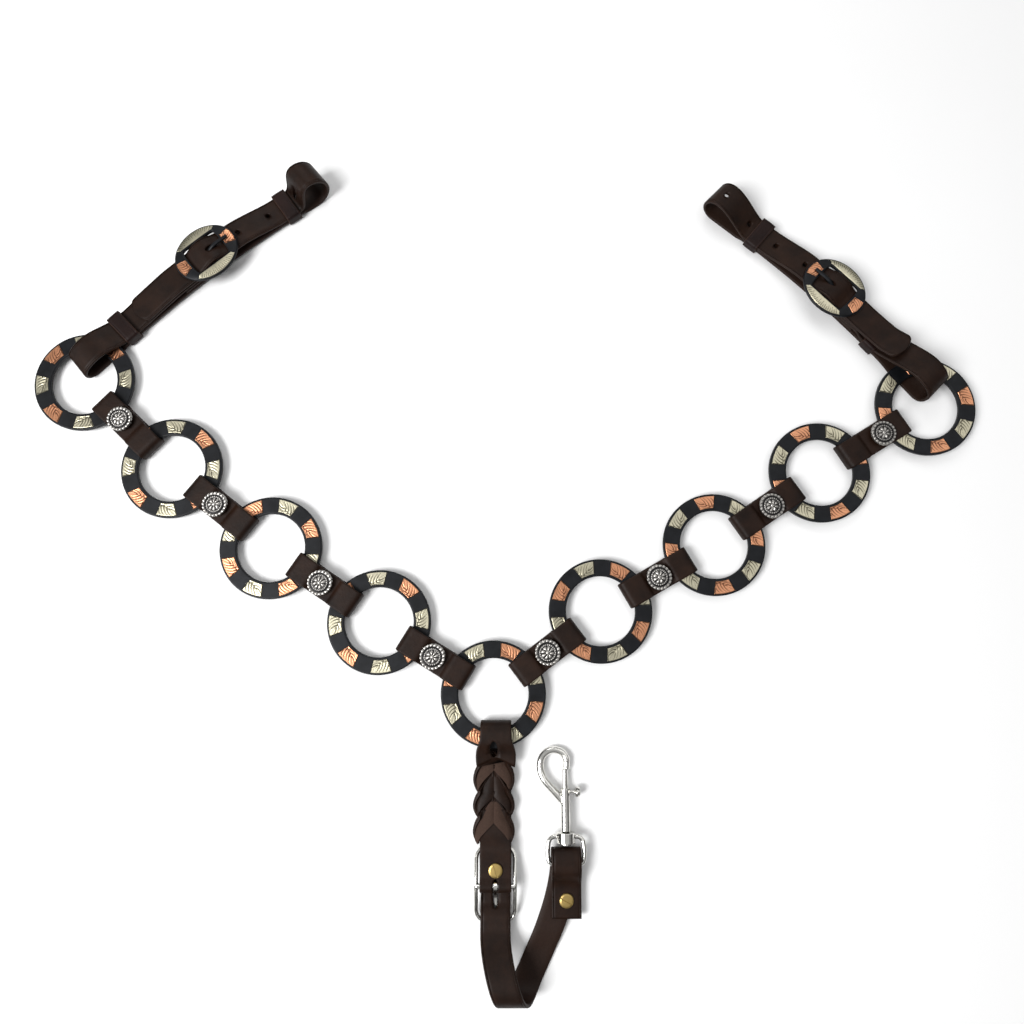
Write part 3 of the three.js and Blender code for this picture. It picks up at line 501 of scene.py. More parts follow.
def plate_patch(across, out, where, rise, strokes, width=0.5, depth=0.3):
    """A raised plate over a (-1..1, 0..1) square: where() gives its place and its engraving coordinates."""
    def margins(count, low, high):
        inside = list(np.linspace(low, high, count))
        edge = (high - low) * 0.02
        return [low, low + edge, low + 2.5 * edge, *inside[1:-1], high - 2.5 * edge, high - edge, high]
    columns, rows = margins(across, -1.0, 1.0), margins(out, 0.0, 1.0)
    points, cut = [], []
    for i, p in enumerate(columns):
        for j, q in enumerate(rows):
            x, y, level, a, b = where(p, q)
            border = min(i, len(columns) - 1 - i, j, len(rows) - 1 - j)
            dug = groove(strokes, a, b, width) if border > 2 else 0.0
            lift = (-0.15, 0.72, 1.0)[min(border, 2)] * rise
            points.append((x, y, level + lift - depth * dug))
            cut.append(min(1.0, 1.5 * dug) if border else 0.8)
    return points, grid(len(columns), len(rows)), cut


def collect(parts):
    """Joins (points, faces, cut, look number) lists into one."""
    points, faces, cut, looks = [], [], [], []
    for some, shape, dug, look in parts:
        start = len(points)
        points += some
        faces += [tuple(start + k for k in face) for face in shape]
        cut += dug
        looks += [look] * len(shape)
    return points, faces, cut, looks


# ---------------------------------------------------------------- rings
def ring_body():
    r, R, low, high = RING["inner"], RING["outer"], RING["level"] - 1.6, RING["level"] + 1.6
    soft = 0.45
    profile = [(r, low + soft), (r + soft, low), (R - soft, low), (R, low + soft), (R, high - soft),
               (R - 0.15, high - 0.15), (R - soft, high), (R - 1.3, high), (r + 1.3, high), (r + soft, high),
               (r + 0.15, high - 0.15), (r, high - soft)]
    return lathe(profile, 144)


def ring_plates():
    top = RING["level"] + RING["thick"] / 2
    half = (PLATE["inner_half"], PLATE["outer_half"])

    def where(p, q):
        radius = PLATE["inner"] + q * (PLATE["outer"] - PLATE["inner"])
        aside = p * (half[0] + q * (half[1] - half[0]))
        angle = math.asin(aside / radius)
        return radius * math.cos(angle), radius * math.sin(angle), top, aside, 8.0 * (q - 0.5)
    return plate_patch(38, 20, where, PLATE["rise"], LEAF)


RING_BODY = ring_body()
RING_PLATE = ring_plates()


def add_ring(node):
    points, faces = RING_BODY
    place = place_of(node)
    body = mesh_object(node + "_body", place.out(points), faces, "steel", {"cut": [0.0] * len(points)})
    settle(outward(body), node, "black_steel", node)
    template, shape, cut = RING_PLATE
    parts = []
    for k in range(PLATE["count"]):
        turned = Place((0, 0), SILVER_AT[node] + 360 / PLATE["count"] * k)
        flipped = [(x, y if k % 4 < 2 else -y, z) for x, y, z in template]
        parts.append(([tuple(p) for p in turned.out(flipped)], shape, cut, k % 2))
    points, faces, cut, looks = collect(parts)
    plates = mesh_object(node + "_plates", place.out(points), faces, ("german_silver", "copper"),
                         {"cut": cut}, looks)
    settle(outward(plates), node, "antique_silver")


# ---------------------------------------------------------------- tabs and conchos
def tab_path():
    level, half = RING["level"], TAB["half"] - LEATHER / 2
    low, high = TAB["waist"] - LEATHER / 2, TAB["pocket"] + LEATHER / 2
    end, full, corner = TAB["waist_end"], TAB["full_at"], 3.2
    quarter = line((-end, low), (end, low), 12)
    quarter += curve((end, low), (end + 1.8, low), (full - 1.8, high), (full, high), 8)
    quarter += line((full, high), (half - corner, high), 10)
    quarter += arc((half - corner, high - corner), corner, 90, 0, 8)
    quarter += line((half, high - corner), (half, 0), 2)
    lower = [(x, -z) for x, z in reversed(quarter[12:])]
    right_half = quarter + lower
    mirrored = [(-x, -z) for x, z in right_half]
    return [(x, z + level) for x, z in right_half + mirrored]


def add_tab(side, number, ring_in, ring_out):
    start, end = np.array(middle(ring_in)), np.array(middle(ring_out))
    gone = end - start
    place = Place((start + end) / 2 / MM, math.degrees(math.atan2(gone[1], gone[0])))
    name = f"{side}_tab_{number}"
    folded = strap(name + "_leather", place, tab_path(), TAB["width"], "leather", crease=0, closed=True,
                   step=0.8)
    settle(folded, name, "leather", name)
    core = [(-TAB["waist_end"], RING["level"]), (TAB["waist_end"], RING["level"])]
    filler = strap(name + "_filler", place, core, TAB["width"] - 0.3, "leather", thickness=2.5, crease=0)
    settle(filler, name, "leather")
    concho = f"{side}_concho_{number}"
    relief = mesh_object(concho + "_relief", *concho_shape(place_of(concho, place.heading)))
    settle(outward(relief), name, "antique_silver", concho)
    screw = f"{side}_concho_screw_{number}"
    head = slotted_screw(screw + "_head", place_of(screw, place.heading + 30 * number), 3.6, 1.0, "antique",
                         down=True, seat=RING["level"] - TAB["waist"] - 0.1, reach=3.4)
    settle(head, name, "antique_silver", screw)


def concho_shape(place):
    """A round of scallops and beads about an eight-petalled flower, in relief."""
    seat = RING["level"] + TAB["pocket"] + LEATHER + 0.3
    columns, rows = 120, 34
    points, cut = [], []
    for i in range(columns):
        angle = 2 * math.pi * i / columns
        for j in range(rows):
            q = j / (rows - 1)
            reach = CONCHO["radius"] - 0.2
            if j > rows - 5:
                reach = CONCHO["radius"] - 0.35 + 0.3 * abs(math.cos(10 * angle))
            radius = reach * q
            dome = 2.0 * math.sqrt(max(0.0, 1 - (0.82 * q) ** 2)) - 0.55
            petal = abs(math.cos(4 * angle + 0.2)) ** 0.7
            if radius < 1.3:
                relief = 0.75 * math.sqrt(max(0.0, 1 - (radius / 1.4) ** 2))
            elif radius < 4.9:
                tip = (radius - 1.3) / 3.6
                relief = 0.62 * petal * math.sin(math.pi * min(1.0, tip * 0.9 + 0.12)) - 0.18 * (1 - petal)
            elif radius < 6.3:
                relief = 0.42 * abs(math.sin(12 * angle)) * math.sin(math.pi * (radius - 4.9) / 1.4)
            elif radius < 7.2:
                relief = -0.15
            else:
                bead = math.sin(math.pi * min(1.0, (radius - 7.2) / 2.3) * 0.8)
                relief = 0.5 * abs(math.cos(10 * angle)) ** 0.5 * bead
            height = seat + 0.9 + dome * 0.9 + relief if j < rows - 1 else seat
            points.append((radius * math.cos(angle), radius * math.sin(angle), height))
            cut.append(float(np.clip(0.95 - 2.1 * relief, 0.05, 1)) if j < rows - 2 else 0.4)
    return place.out(points), grid(columns, rows, close=True), "antique", {"cut": cut}


def slotted_screw(name, place, radius, thick, look, down=False, seat=0.0, post=2.0, reach=2.0):
    """A round head with a driver slot on a plain post."""
    flip = -1 if down else 1
    profile = [(0, -reach), (post, -reach), (post, 0), (radius, 0), (radius, thick * 0.45),
               (radius * 0.93, thick * 0.8), (radius * 0.72, thick), (0, thick + 0.12)]
    points, faces = lathe([(r, seat + flip * z) for r, z in profile], 48)
    head = outward(mesh_object(name, place.out(points), faces, look, {"cut": [0.0] * len(points)}), 0.00001)
    bm = bmesh.new()
    made = bmesh.ops.create_cube(bm, size=1)
    size = Matrix.Diagonal((2.6 * radius, 0.95, 1.0, 1))
    spot = Matrix.Translation((0, 0, seat + flip * (thick + 0.05))) @ size
    bmesh.ops.transform(bm, matrix=spot, verts=made["verts"])
    cut_away(head, place, bm, look)
    head.data.polygons.foreach_set("use_smooth", [False] * len(head.data.polygons))
    return head


def add_arm(side):
    rings = ["centre_ring"] + [f"{side}_ring_{n}" for n in range(1, 5)]
    for number, (ring_in, ring_out) in enumerate(zip(rings, rings[1:]), 1):
        add_ring(ring_out)
        add_tab(side, number, ring_in, ring_out)


# ---------------------------------------------------------------- rods
def rod(name, place, route, radius_at, look, sides=16):
    """A round bar along points (x, y, z) in the place's frame, with closed round ends."""
    spine = spaced(route, 0.5)
    count = len(spine)
    ahead = np.gradient(spine, axis=0)
    ahead /= np.linalg.norm(ahead, axis=1)[:, None]
    side_way = np.array([0.0, 1.0, 0.0]) if abs(ahead[0][1]) < 0.9 else np.array([1.0, 0, 0])
    points = []
    for i in range(count):
        first = np.cross(ahead[i], side_way)
        first /= np.linalg.norm(first)
        side_way = np.cross(first, ahead[i])
        wide, deep = radius_at(i / (count - 1))
        for k in range(sides):
            angle = 2 * math.pi * k / sides
            points.append(spine[i] + side_way * wide * math.cos(angle) + first * deep * math.sin(angle))
    piece = mesh_object(name, place.out(points), tube_faces(count, sides), look,
                        {"cut": [0.0] * len(points)})
    return outward(piece)


# ---------------------------------------------------------------- tugs
def bow_at(tug, x):
    return tug["bow"] * math.sin(math.pi * (x - tug["ring_end"]) / (tug["saddle_end"] - tug["ring_end"]))


def on_tug(place, tug, x):
    slope = (bow_at(tug, x + 1) - bow_at(tug, x - 1)) / 2
    return place.at(x, bow_at(tug, x), math.degrees(math.atan(slope)))


def tug_path(tug):
    buckle, ring_end, tip = tug["buckle"], tug["ring_end"], tug["tip"]
    over_ring, over_saddle = tug["ring_loop"] - LEATHER / 2, tug["saddle_loop"] - LEATHER / 2
    half = KEEPER["length"] / 2
    keeper_in, keeper_out = tug["ring_keeper"] - half, tug["ring_keeper"] + half
    saddle_in, saddle_out = tug["saddle_keeper"] - half, tug["saddle_keeper"] + half
    bend = (over_saddle - FLOOR) / 2
    round_at = tug["saddle_end"] - LEATHER / 2 - bend
    tucked = tip < tug["ring_keeper"]
    path = line((buckle - 32, TURNED), (buckle, TURNED), 20)
    path += arc((buckle, BAR), 3.9, -90, 115, 16)
    path += curve((buckle - 1.6, BAR + 3.5), (buckle - 6, 12.2), (buckle - 9, LOWER), (buckle - 13, LOWER),
                  10)
    path += line((buckle - 13, LOWER), (buckle - 34, LOWER), 12)
    path += curve((buckle - 34, LOWER), (buckle - 40, LOWER), (keeper_out + 7, TURNED),
                  (keeper_out + 1, TURNED), 10)
    path += line((keeper_out + 1, TURNED), (keeper_in + 2, TURNED + 0.4), 8)
    path += curve((keeper_in + 2, TURNED + 0.4), (keeper_in - 6, TURNED + 2), (ring_end + 26, over_ring),
                  (ring_end + 17, over_ring), 14)
    path += curve((ring_end + 17, over_ring), (ring_end + 6, over_ring), (ring_end + 1.2, over_ring - 4),
                  (ring_end + 1.2, over_ring / 2 + 0.6), 14)
    path += curve((ring_end + 1.2, over_ring / 2 + 0.6), (ring_end + 1.2, 3), (ring_end + 4, FLOOR),
                  (ring_end + 9, FLOOR), 12)
    path += line((ring_end + 9, FLOOR), (37.5, FLOOR), 12)
    path += curve((37.5, FLOOR), (40, FLOOR), (41, UNDER), (keeper_in + 0.3, UNDER), 6)
    path += line((keeper_in + 0.3, UNDER), (saddle_out + 1, UNDER), 60)
    path += curve((saddle_out + 1, UNDER), (saddle_out + 4, UNDER), (saddle_out + 4, FLOOR),
                  (saddle_out + 8, FLOOR), 6)
    path += line((saddle_out + 8, FLOOR), (round_at, FLOOR), 8)
    path += arc((round_at, FLOOR + bend), bend, -90, 90, 30)
    path += curve((round_at, over_saddle), (round_at - 11, over_saddle), (saddle_out + 9, TURNED + 2),
                  (saddle_out + 1, TURNED), 16)
    path += line((saddle_out + 1, TURNED), (saddle_in - 1, TURNED), 10)
    path += curve((saddle_in - 1, TURNED), (saddle_in - 12, TURNED), (buckle + 36, BILLET),
                  (buckle + 26, BILLET), 14)
    path += line((buckle + 26, BILLET), (buckle + 15, BILLET), 8)
    path += curve((buckle + 15, BILLET), (buckle + 10, BILLET), (buckle + 7, CREST), (buckle, CREST), 10)
    path += curve((buckle, CREST), (buckle - 7, CREST), (buckle - 10, BILLET), (buckle - 15, BILLET), 10)
    path += line((buckle - 15, BILLET), (buckle - 34, BILLET), 12)
    if tucked:
        over = TURNED + 2 * LEATHER + KEEPER["wall"]
        path += curve((buckle - 34, BILLET), (buckle - 38, BILLET), (keeper_out + 3, over),
                      (keeper_out, over), 6)
        path += line((keeper_out, over), (keeper_in, over + 1.4), 8)
        path += line((keeper_in, over + 1.4), (tip, over + 8.5), 10) + [(tip, over + 8.5)]
    else:
        over = TURNED + STEP
        path += curve((buckle - 34, BILLET), (buckle - 40, BILLET), (tip + 12, over + 0.4),
                      (tip, over + 0.2), 14)
        path += [(tip, over + 0.2)]
    return path


def add_tug(side):
    tug = TUGS[side]
    ring = place_of(f"{side}_ring_4", tug["heading"])
    line_place = ring.at(0, tug["across"])
    body = f"{side}_tug"
    leather = strap(body + "_leather", line_place, tug_path(tug), STRAP, "leather",
                    sideways=lambda x, s: bow_at(tug, x), width_at=rounded_tip(7), step=1.2, flip=True)
    buckle = tug["buckle"]
    centre = bow_at(tug, buckle)
    holes = [(buckle, centre, 2.0, BAR - 6.2, BAR + 5.4, 3.1), (buckle + 5, centre, 2.0, 12.2, 19, 2.3)]
    x = buckle + 2 + HOLE_PITCH
    while x < tug["saddle_end"] - 4:
        holes.append((x, bow_at(tug, x), 2.0, UNDER + LEATHER / 2 + 0.1, 32, 1.0))
        x += HOLE_PITCH
    settle(pierce(leather, line_place, holes), body, "leather", f"{side}_tug_strap")
    add_oval(side, on_tug(line_place, tug, buckle))
    keeper_top = {"ring": TURNED + LEATHER / 2 + 1.8 + KEEPER["wall"],
                  "saddle": TURNED + LEATHER / 2 + 0.8 + KEEPER["wall"]}
    for end, top in keeper_top.items():
        name = f"{side}_{end}_keeper"
        loop = keeper(name + "_loop", on_tug(line_place, tug, tug[end + "_keeper"]), top)
        settle(loop, name, "leather", name)


def keeper(name, place, top):
    half = KEEPER["across"] / 2 + KEEPER["wall"] / 2
    low, high, corner = KEEPER["wall"] / 2, top - KEEPER["wall"] / 2, 1.2
    loop = line((corner - half, high), (half - corner, high), 20)
    loop += arc((half - corner, high - corner), corner, 90, 0, 6)
    loop += line((half, high - corner), (half, low + corner), 8)
    loop += arc((half - corner, low + corner), corner, 0, -90, 6)
    loop += line((half - corner, low), (corner - half, low), 20)
    loop += arc((corner - half, low + corner), corner, -90, -180, 6)
    loop += line((-half, low + corner), (-half, high - corner), 8)
    loop += arc((corner - half, high - corner), corner, 180, 90, 6)
    return strap(name, place.at(0, 0, 90), loop, KEEPER["length"], "keeper", thickness=KEEPER["wall"],
                 crease=1.6, closed=True, step=0.7)


def oval_frame():
    """The buckle's domed oval with a straight-sided window."""
    columns, rows = 160, 9
    half_l, half_w = OVAL["length"] / 2, OVAL["width"] / 2
    win_l, win_w = OVAL["window"] / 2, OVAL["opening"] / 2
    top = FRAME + OVAL["thick"]
    points = []
    for i in range(columns):
        angle = 2 * math.pi * i / columns
        c, s = math.cos(angle), math.sin(angle)
        inner = min(win_l / abs(c) if c else 1e9, win_w / abs(s) if s else 1e9)
        inner = (inner**-14 + (0.97 * math.hypot(win_l, win_w)) ** -14) ** (-1 / 14)
        outer = 1 / math.hypot(c / half_l, s / half_w)
        for j in range(rows):
            q = j / (rows - 1)
            radius = inner + (outer - inner) * (0.04 + 0.94 * q)
            points.append((radius * c, radius * s, top - 1.1 * q**2.4))
        points.append((outer * c, outer * s, top - 1.6))
        points.append((outer * c, outer * s, FRAME + 0.4))
        points.append(((outer - 0.5) * c, (outer - 0.5) * s, FRAME))
        points.append(((inner + 0.4) * c, (inner + 0.4) * s, FRAME))
        points.append((inner * c, inner * s, FRAME + 0.4))
        points.append((inner * c, inner * s, top - 0.5))
    return points, turned_faces(columns, len(points) // columns)


def dome_at(x, y):
    """Height of the oval's face at a point."""
    reach = math.hypot(x / (OVAL["length"] / 2), y / (OVAL["width"] / 2))
    return FRAME + OVAL["thick"] - 1.1 * max(0.0, (reach - 0.6) / 0.4) ** 2.4


def crescent(end):
    """A silver plate along one side of the window, cut with flutes that fan out to its edge."""
    def where(p, q):
        near = OVAL["opening"] / 2 + 0.9
        x = p * (15.5 + 2.2 * q)
        rim = (OVAL["width"] / 2 - 1.2) * math.sqrt(1 - (x / (OVAL["length"] / 2 - 1.2)) ** 2)
        y = near + q * (rim - near)
        return x, end * y, dome_at(x, y), x, y
    flutes = []
    for k in range(-9, 10):
        angle = math.radians(4.8 * k)
        far = 1 / math.hypot(math.sin(angle) / 24.5, math.cos(angle) / 19.5)
        flutes.append(np.array([(math.sin(angle) * r, math.cos(angle) * r)
                                for r in np.linspace(far, far - (4.2 if k % 2 else 2.6), 10)]))
    return plate_patch(84, 12, where, 0.5, flutes, width=0.42, depth=0.3)


def end_plate(end):
    """A copper plate at one end of the window, wider at the oval's edge."""
    def where(p, q):
        aside = p * (4.3 + 2.0 * q)
        far = (OVAL["length"] / 2 - 1.0) * math.sqrt(1 - (aside / (OVAL["width"] / 2 - 1.0)) ** 2)
        x = 16.2 + q * (far - 16.2)
        return end * x, aside, dome_at(x, aside), aside * 1.15, 7.0 * (q - 0.5)
    return plate_patch(26, 22, where, 0.5, LEAF, width=0.45)


def add_oval(side, place):
    body = f"{side}_tug"
    points, faces = oval_frame()
    frame_piece = mesh_object(body + "_oval", place.out(points), faces, "steel", {"cut": [0.0] * len(points)})
    settle(outward(frame_piece), body, "black_steel", f"{side}_tug_buckle")
    reach = OVAL["opening"] / 2 + OVAL["lug"] / 2
    arch = [(0, -reach, FRAME + 1), (0, -reach, BAR + 1), (0, 0.8 - reach, BAR), (0, reach - 0.8, BAR),
            (0, reach, BAR + 1), (0, reach, FRAME + 1)]
    settle(rod(body + "_bar", place, arch, lambda t: (1.25, 1.5), "steel"), body, "black_steel")
    parts = [(*crescent(1), 0), (*crescent(-1), 0), (*end_plate(1), 1), (*end_plate(-1), 1)]
    points, faces, cut, looks = collect(parts)
    plates = mesh_object(body + "_plates", place.out(points), faces, ("german_silver", "copper"),
                         {"cut": cut}, looks)
    settle(outward(plates), body, "antique_silver")
    rest = FRAME + OVAL["thick"] + 1.1
    turns = np.radians(np.linspace(-80, 232, 24))[::-1]
    eye = [(2.9 * math.cos(a), 0, BAR + 2.9 * math.sin(a)) for a in turns]
    arm = [(0.9, 0, BAR + 3.9), (3.2, 0, BAR + 5.2), (7, 0, rest - 0.2), (11, 0, rest + 0.2), (16, 0, rest),
           (20.5, 0, rest)]
    tongue = f"{side}_tug_tongue"
    settle(rod(tongue + "_arm", place, arm, lambda t: (1.6 - 0.3 * t, 1.05 - 0.25 * t), "steel"), tongue,
           "black_steel", tongue)
    settle(rod(tongue + "_eye", place, eye, lambda t: (1.4, 0.75), "steel"), tongue, "black_steel")


# ---------------------------------------------------------------- centre drop
# Distances run down the drop from the centre ring's centre.
DROP = {"x": 2, "loop_end": 17.9, "loop_height": 14.5, "screw": 119.3, "bar": 130, "half": 24}
HANG = {"return": 5.6, "bar": 8.9, "bend": 3.3, "pinched": 8.8, "over_end": 9.5, "billet": 1.5,
        "billet_end": 6.3}
# Each tier of the braid hangs from the seam at "top" down to the peak of the next one at "apex". At the
# braid's edge the same tier swells between two narrow spots, "above" and "below".
TIERS = (
    {"top": 43.5, "apex": 53, "above": 49.5, "below": 68.7, "look": "suede", "rise": 0},
    {"top": 53, "apex": 70.7, "above": 68.7, "below": 85.6, "look": "leather", "rise": 0},
    {"top": 70.7, "apex": 88.5, "above": 85.6, "below": 103.7, "look": "suede", "rise": 1.3},
)
BRAID_AT = -1.4
BEND = {"at": 192, "radius": 11.5}
FOLD = {"at": 110, "low": 2.9, "radius": 4.75, "pinched": 5.7, "end": 152, "screw": 140}
SNAP_X = 51.4


def braid_flap(name, place, hand, tier, look, face):
    """One strand's leaf between two peaks: it tucks under the tier above and rolls over the braid's edge."""
    columns, rows = 30, 26
    points, flesh = [], []
    for i in range(columns):
        p = i / (columns - 1)
        begin = tier["top"] - 4 + (tier["above"] - tier["top"] + 2) * p
        finish = tier["apex"] + (tier["below"] - tier["apex"]) * p**1.1
        for j in range(rows):
            q = j / (rows - 1)
            y = begin + (finish - begin) * q
            lobe = min(1.0, max(0.0, (y - tier["above"]) / (tier["below"] - tier["above"])))
            half = 11.4 + 3.5 * math.sin(math.pi * lobe) ** 0.8
            crown = 0.9 * math.sin(math.pi * min(1.0, p * 1.05 + 0.05)) * math.sin(math.pi * min(1, q * 0.85))
            roll = 3.4 * max(0.0, (p - 0.66) / 0.34) ** 2.2
            height = 4.3 + 3.1 * q**0.8 + tier["rise"] * q * q + crown - roll - 0.9 * (1 - p) ** 6
            points.append((y, BRAID_AT + hand * (half * p - 0.25 * (1 - p)), 4.4 + face * (height - 4.4)))
            flesh.append(1.0 if look == "suede" else 0.5 * (q > 0.97 or p > 0.985))
    leaf = mesh_object(name, place.out(points), grid(columns, rows), look, {"flesh": flesh})
    outward(leaf)
    if (leaf.data.polygons[40].normal.z > 0) != (face > 0):
        leaf.data.flip_normals()
    thicken = leaf.modifiers.new("thickness", "SOLIDIFY")
    thicken.thickness = 2.0 * MM
    thicken.offset = -1
    soften = leaf.modifiers.new("edges", "BEVEL")
    soften.width = 0.45 * MM
    soften.segments = 2
    soften.limit_method = "ANGLE"
    soften.angle_limit = math.radians(50)
    apply_modifiers(leaf)
    leaf.data.polygons.foreach_set("use_smooth", [True] * len(leaf.data.polygons))
    return leaf


def peak_end(piece, place, start, end, slope):
    """Draws the end of the upper layer out towards its two edges, so that it finishes in a peak."""
    for vertex in piece.data.vertices:
        offset = np.array(vertex.co) / MM - place.origin
        along, aside = offset @ place.along, offset @ place.beside
        if offset[2] > 4.4 and along > start:
            pull = slope * abs(aside) * min(1.0, (along - start) / (end - start)) ** 2
            vertex.co += Vector(place.along * pull * MM)


def add_drop():
    place = Place(np.array(middle("centre_ring")) / MM, -90).at(0, DROP["x"])
    crown, bend = DROP["loop_height"] - LEATHER / 2, (DROP["loop_height"] - LEATHER) / 2
    turn = DROP["loop_end"] + bend
    under = line((70, 2.0), (39, FLOOR), 14) + line((39, FLOOR), (turn + LEATHER / 2, FLOOR), 8)
    around = arc((turn + LEATHER / 2, crown - bend), bend, -90, -270, 30)
    over = line((turn + LEATHER / 2, crown), (turn + 8, crown), 6)
    over += curve((turn + 8, crown), (36, crown), (37, 9.2), (43.6, 8.0), 18) + [(43.6, 8.0)]

    def flare(at, total):
        left = total - at
        return 1.0 + 0.3 * math.exp(-((left - 3.5) / 7.5) ** 2)
    loop = strap("drop_loop_leather", place, under + around + over, STRAP, "leather", crease=0,
                 width_at=flare)
    peak_end(loop, place, 34, 43.6, 0.5)
    loop = pierce(loop, place, [(37.8, BRAID_AT, 2.7, 4.4, 18, 2.2)])
    settle(loop, "drop", "leather", "drop_strap")
    for number, tier in enumerate(TIERS):
        for hand in (-1, 1):
            for face in (1, -1):
                side = ("left" if hand < 0 else "right") + ("_front" if face > 0 else "_back")
                look = tier["look"] if face > 0 else "leather"
                flap = braid_flap(f"drop_braid_{number}_{side}", place, hand, tier, look, face)
                settle(flap, "drop", "leather")
    bar, pinched, half = DROP["bar"], HANG["pinched"], DROP["half"]
    tail = line((bar - 24, HANG["return"]), (bar, HANG["return"]), 14)
    tail += arc((bar, HANG["bar"]), HANG["bend"], -90, 125, 20)
    tail += curve((bar - 1.9, HANG["bar"] + 2.7), (bar - 3.5, pinched + 1.6), (bar - 4.2, pinched),
                  (bar - 5.5, pinched), 8)
    tail += line((bar - 5.5, pinched), (bar - 15, pinched), 8)
    tail += curve((bar - 15, pinched), (bar - 18, pinched), (bar - half + 2, HANG["over_end"]),
                  (bar - half - 1, HANG["over_end"]), 10)
    tail += curve((bar - half - 1, HANG["over_end"]), (bar - half - 5, HANG["over_end"]), (101, 5.8),
                  (94, 5.4), 10)
    tail += line((94, 5.4), (80, 4.8), 10) + [(80, 4.8)]
    tail_piece = strap("drop_tail_leather", place, tail, STRAP, "leather", crease=0, flip=True)
    tail_piece = pierce(tail_piece, place, [(bar, 0, 2.0, HANG["bar"] - 6, HANG["bar"] + 6, 2.6)])
    settle(tail_piece, "drop", "leather")
    screw = place.at(DROP["screw"], 0, 20)
    head = slotted_screw("drop_screw_head", screw, 5, 1.4, "brass", seat=pinched + LEATHER / 2 + 0.1,
                         reach=4.2)
    settle(head, "drop", "brass", "drop_screw")
    back = slotted_screw("drop_screw_back_head", screw, 3.6, 1.2, "brass", down=True,
                         seat=HANG["return"] - LEATHER / 2 - 0.1, reach=2)
    settle(back, "drop", "brass", "drop_screw_back")
    settle(cast("drop_buckle", "nickel", 0.35), "lower_strap", "nickel", "drop_buckle")
    settle(cast("drop_tongue", "nickel", 0.3, 2), "drop_tongue", "nickel", "drop_tongue")
    add_lower_strap(place)


def add_lower_strap(place):
    bar, half, over = DROP["bar"], DROP["half"], FLOOR + 2 * BEND["radius"]
    billet, end = HANG["billet"], HANG["billet_end"]
    bend, fold, low, pinched = BEND["at"], FOLD["at"], FOLD["low"], FOLD["pinched"]
    path = line((bar - half - 2.5, end), (bar - half + 1.5, end), 4)
    path += curve((bar - half + 1.5, end), (bar - half + 6, end), (bar - half + 6, billet),
                  (bar - half + 10, billet), 8)
    path += line((bar - half + 10, billet), (bar + half - 12, billet), 14)
    path += curve((bar + half - 12, billet), (bar + half - 8, billet), (bar + half - 7, end),
                  (bar + half - 2, end), 8)
    path += line((bar + half - 2, end), (bar + half + 2, end), 4)
    path += curve((bar + half + 2, end), (bar + half + 14, end), (bend - 18, over), (bend, over), 20)
    path += arc((bend, over - BEND["radius"]), BEND["radius"], 90, -90, 30)
    path += line((bend, FLOOR), (bend - 16, FLOOR), 10)
    path += curve((bend - 16, FLOOR), (bend - 22, FLOOR), (bend - 26, low), (bend - 34, low), 8)
    path += line((bend - 34, low), (fold, low), 24)
    path += arc((fold, low + FOLD["radius"]), FOLD["radius"], -90, -270, 18)
    top = low + 2 * FOLD["radius"]
    path += line((fold, top), (fold + 8, top), 6)
    path += curve((fold + 8, top), (fold + 14, top), (fold + 15, pinched), (fold + 23, pinched), 10)
    path += line((fold + 23, pinched), (FOLD["end"], pinched), 10) + [(FOLD["end"], pinched)]
    aside = SNAP_X - DROP["x"]

    def sideways(x, length):
        t = min(1.0, max(0.0, (length - 58) / (215 - 58)))
        return aside * t * t * (3 - 2 * t)
    lower = strap("lower_strap_leather", place, path, STRAP - 1, "leather", crease=1.7, sideways=sideways)
    lower = pierce(lower, place, [(bar + 8.7, 0, 2.0, -1, 8, 3.8)])
    settle(lower, "lower_strap", "leather", "lower_strap")
    screw = place.at(FOLD["screw"], aside, 65)
    head = slotted_screw("snap_fold_screw_head", screw, 5, 1.4, "brass", seat=pinched + LEATHER / 2 + 0.1,
                         reach=3)
    settle(head, "lower_strap", "brass", "snap_fold_screw")
    back = slotted_screw("snap_fold_screw_back_head", screw, 3.6, 1.1, "brass", down=True,
                         seat=low - LEATHER / 2 - 0.05, reach=2)
    settle(back, "lower_strap", "brass", "snap_fold_screw_back")


def swell_hook(body, amount):
    """Makes the hook's wire a little stouter, away from the shank that the bolt runs in."""
    axis = middle("centre_ring") / MM + Vector((SNAP_X, 0, 0))
    for vertex in body.data.vertices:
        spot = vertex.co / MM
        if spot.x < axis.x - 4.5 or spot.y > axis.y - 47:
            vertex.co += vertex.normal * amount * MM


def add_snap():
    settle(cast("snap_eye", "nickel", 0.3, 3), "snap_eye", "nickel", "snap_eye")
    body = cast("snap_body", "nickel", 0.3, 5)
    swell_hook(body, 0.3)
    settle(body, "snap_body", "nickel", "snap_body")
    settle(cast("snap_bolt", "nickel", 0.25, 3), "snap_bolt", "nickel", "snap_bolt")


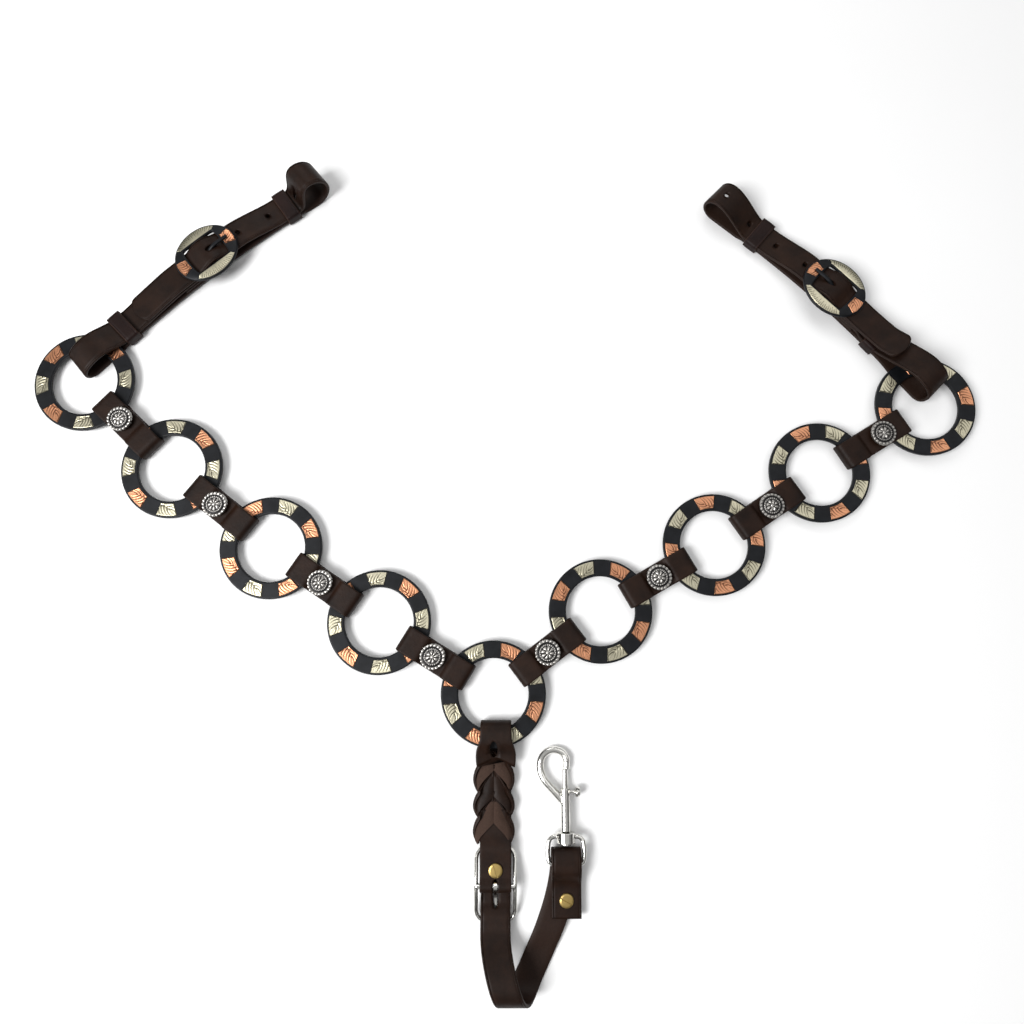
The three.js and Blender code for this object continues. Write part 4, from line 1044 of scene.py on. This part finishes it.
# ---------------------------------------------------------------- stage
def add_stage():
    bpy.ops.mesh.primitive_plane_add(size=8, location=(0, 0, -0.0003))
    floor = bpy.context.object
    floor.name = "studio_floor"
    floor.data.materials.append(floor_material())
    world = bpy.data.worlds.new("studio")
    world.use_nodes = True
    tree = world.node_tree
    direction = add(tree, "ShaderNodeTexCoord").outputs["Generated"]
    height = add(tree, "ShaderNodeSeparateXYZ", {"Vector": direction}).outputs["Z"]
    dome = ramp(tree, height, (0.0, (0.30,) * 3), (0.35, (0.10,) * 3), (0.62, (0.45,) * 3), (0.9, (1.0,) * 3))
    tree.links.new(dome, tree.nodes["Background"].inputs["Color"])
    tree.nodes["Background"].inputs["Strength"].default_value = 0.5
    bpy.context.scene.world = world
    lamps = (("key", (-1.0, -0.45, 1.25), 0.8, 32), ("fill", (0.9, 0.6, 1.5), 1.4, 5),
             ("back", (-0.2, 1.3, 1.1), 0.8, 6))
    for name, spot, size, power in lamps:
        lamp = bpy.data.lights.new(name, "AREA")
        lamp.size = size
        lamp.energy = power
        piece = bpy.data.objects.new(name, lamp)
        piece.location = spot
        piece.rotation_euler = (-Vector(spot)).to_track_quat("-Z", "Y").to_euler()
        bpy.context.scene.collection.objects.link(piece)
    bpy.context.scene.view_settings.view_transform = "Standard"


def add_camera():
    """Held over the collar, leaning a little towards its lower end."""
    ring = middle("centre_ring") + Vector((0, 0, RING["level"] * MM))
    camera = bpy.data.objects.new("camera", bpy.data.cameras.new("camera"))
    camera.data.lens = 25.2
    camera.location = ring + Vector((0.0135, 0.05674, 0.53325))
    towards = ring + Vector((0.0135, 0.1332, 0)) - camera.location
    camera.rotation_euler = (math.atan2(towards.y, -towards.z), 0, 0)
    bpy.context.scene.collection.objects.link(camera)
    bpy.context.scene.camera = camera


def finish_cad():
    """The CAD nodes that stay get the same metals as the pieces."""
    for node in ("left_tug_rivet", "right_tug_rivet", "snap_spring"):
        mesh = bpy.data.objects[node]
        mesh.material_slots[0].material = LOOKS["nickel"]


add_stage()
add_camera()
add_ring("centre_ring")
for each_side in TUGS:
    add_arm(each_side)
    add_tug(each_side)
add_drop()
add_snap()
finish_cad()
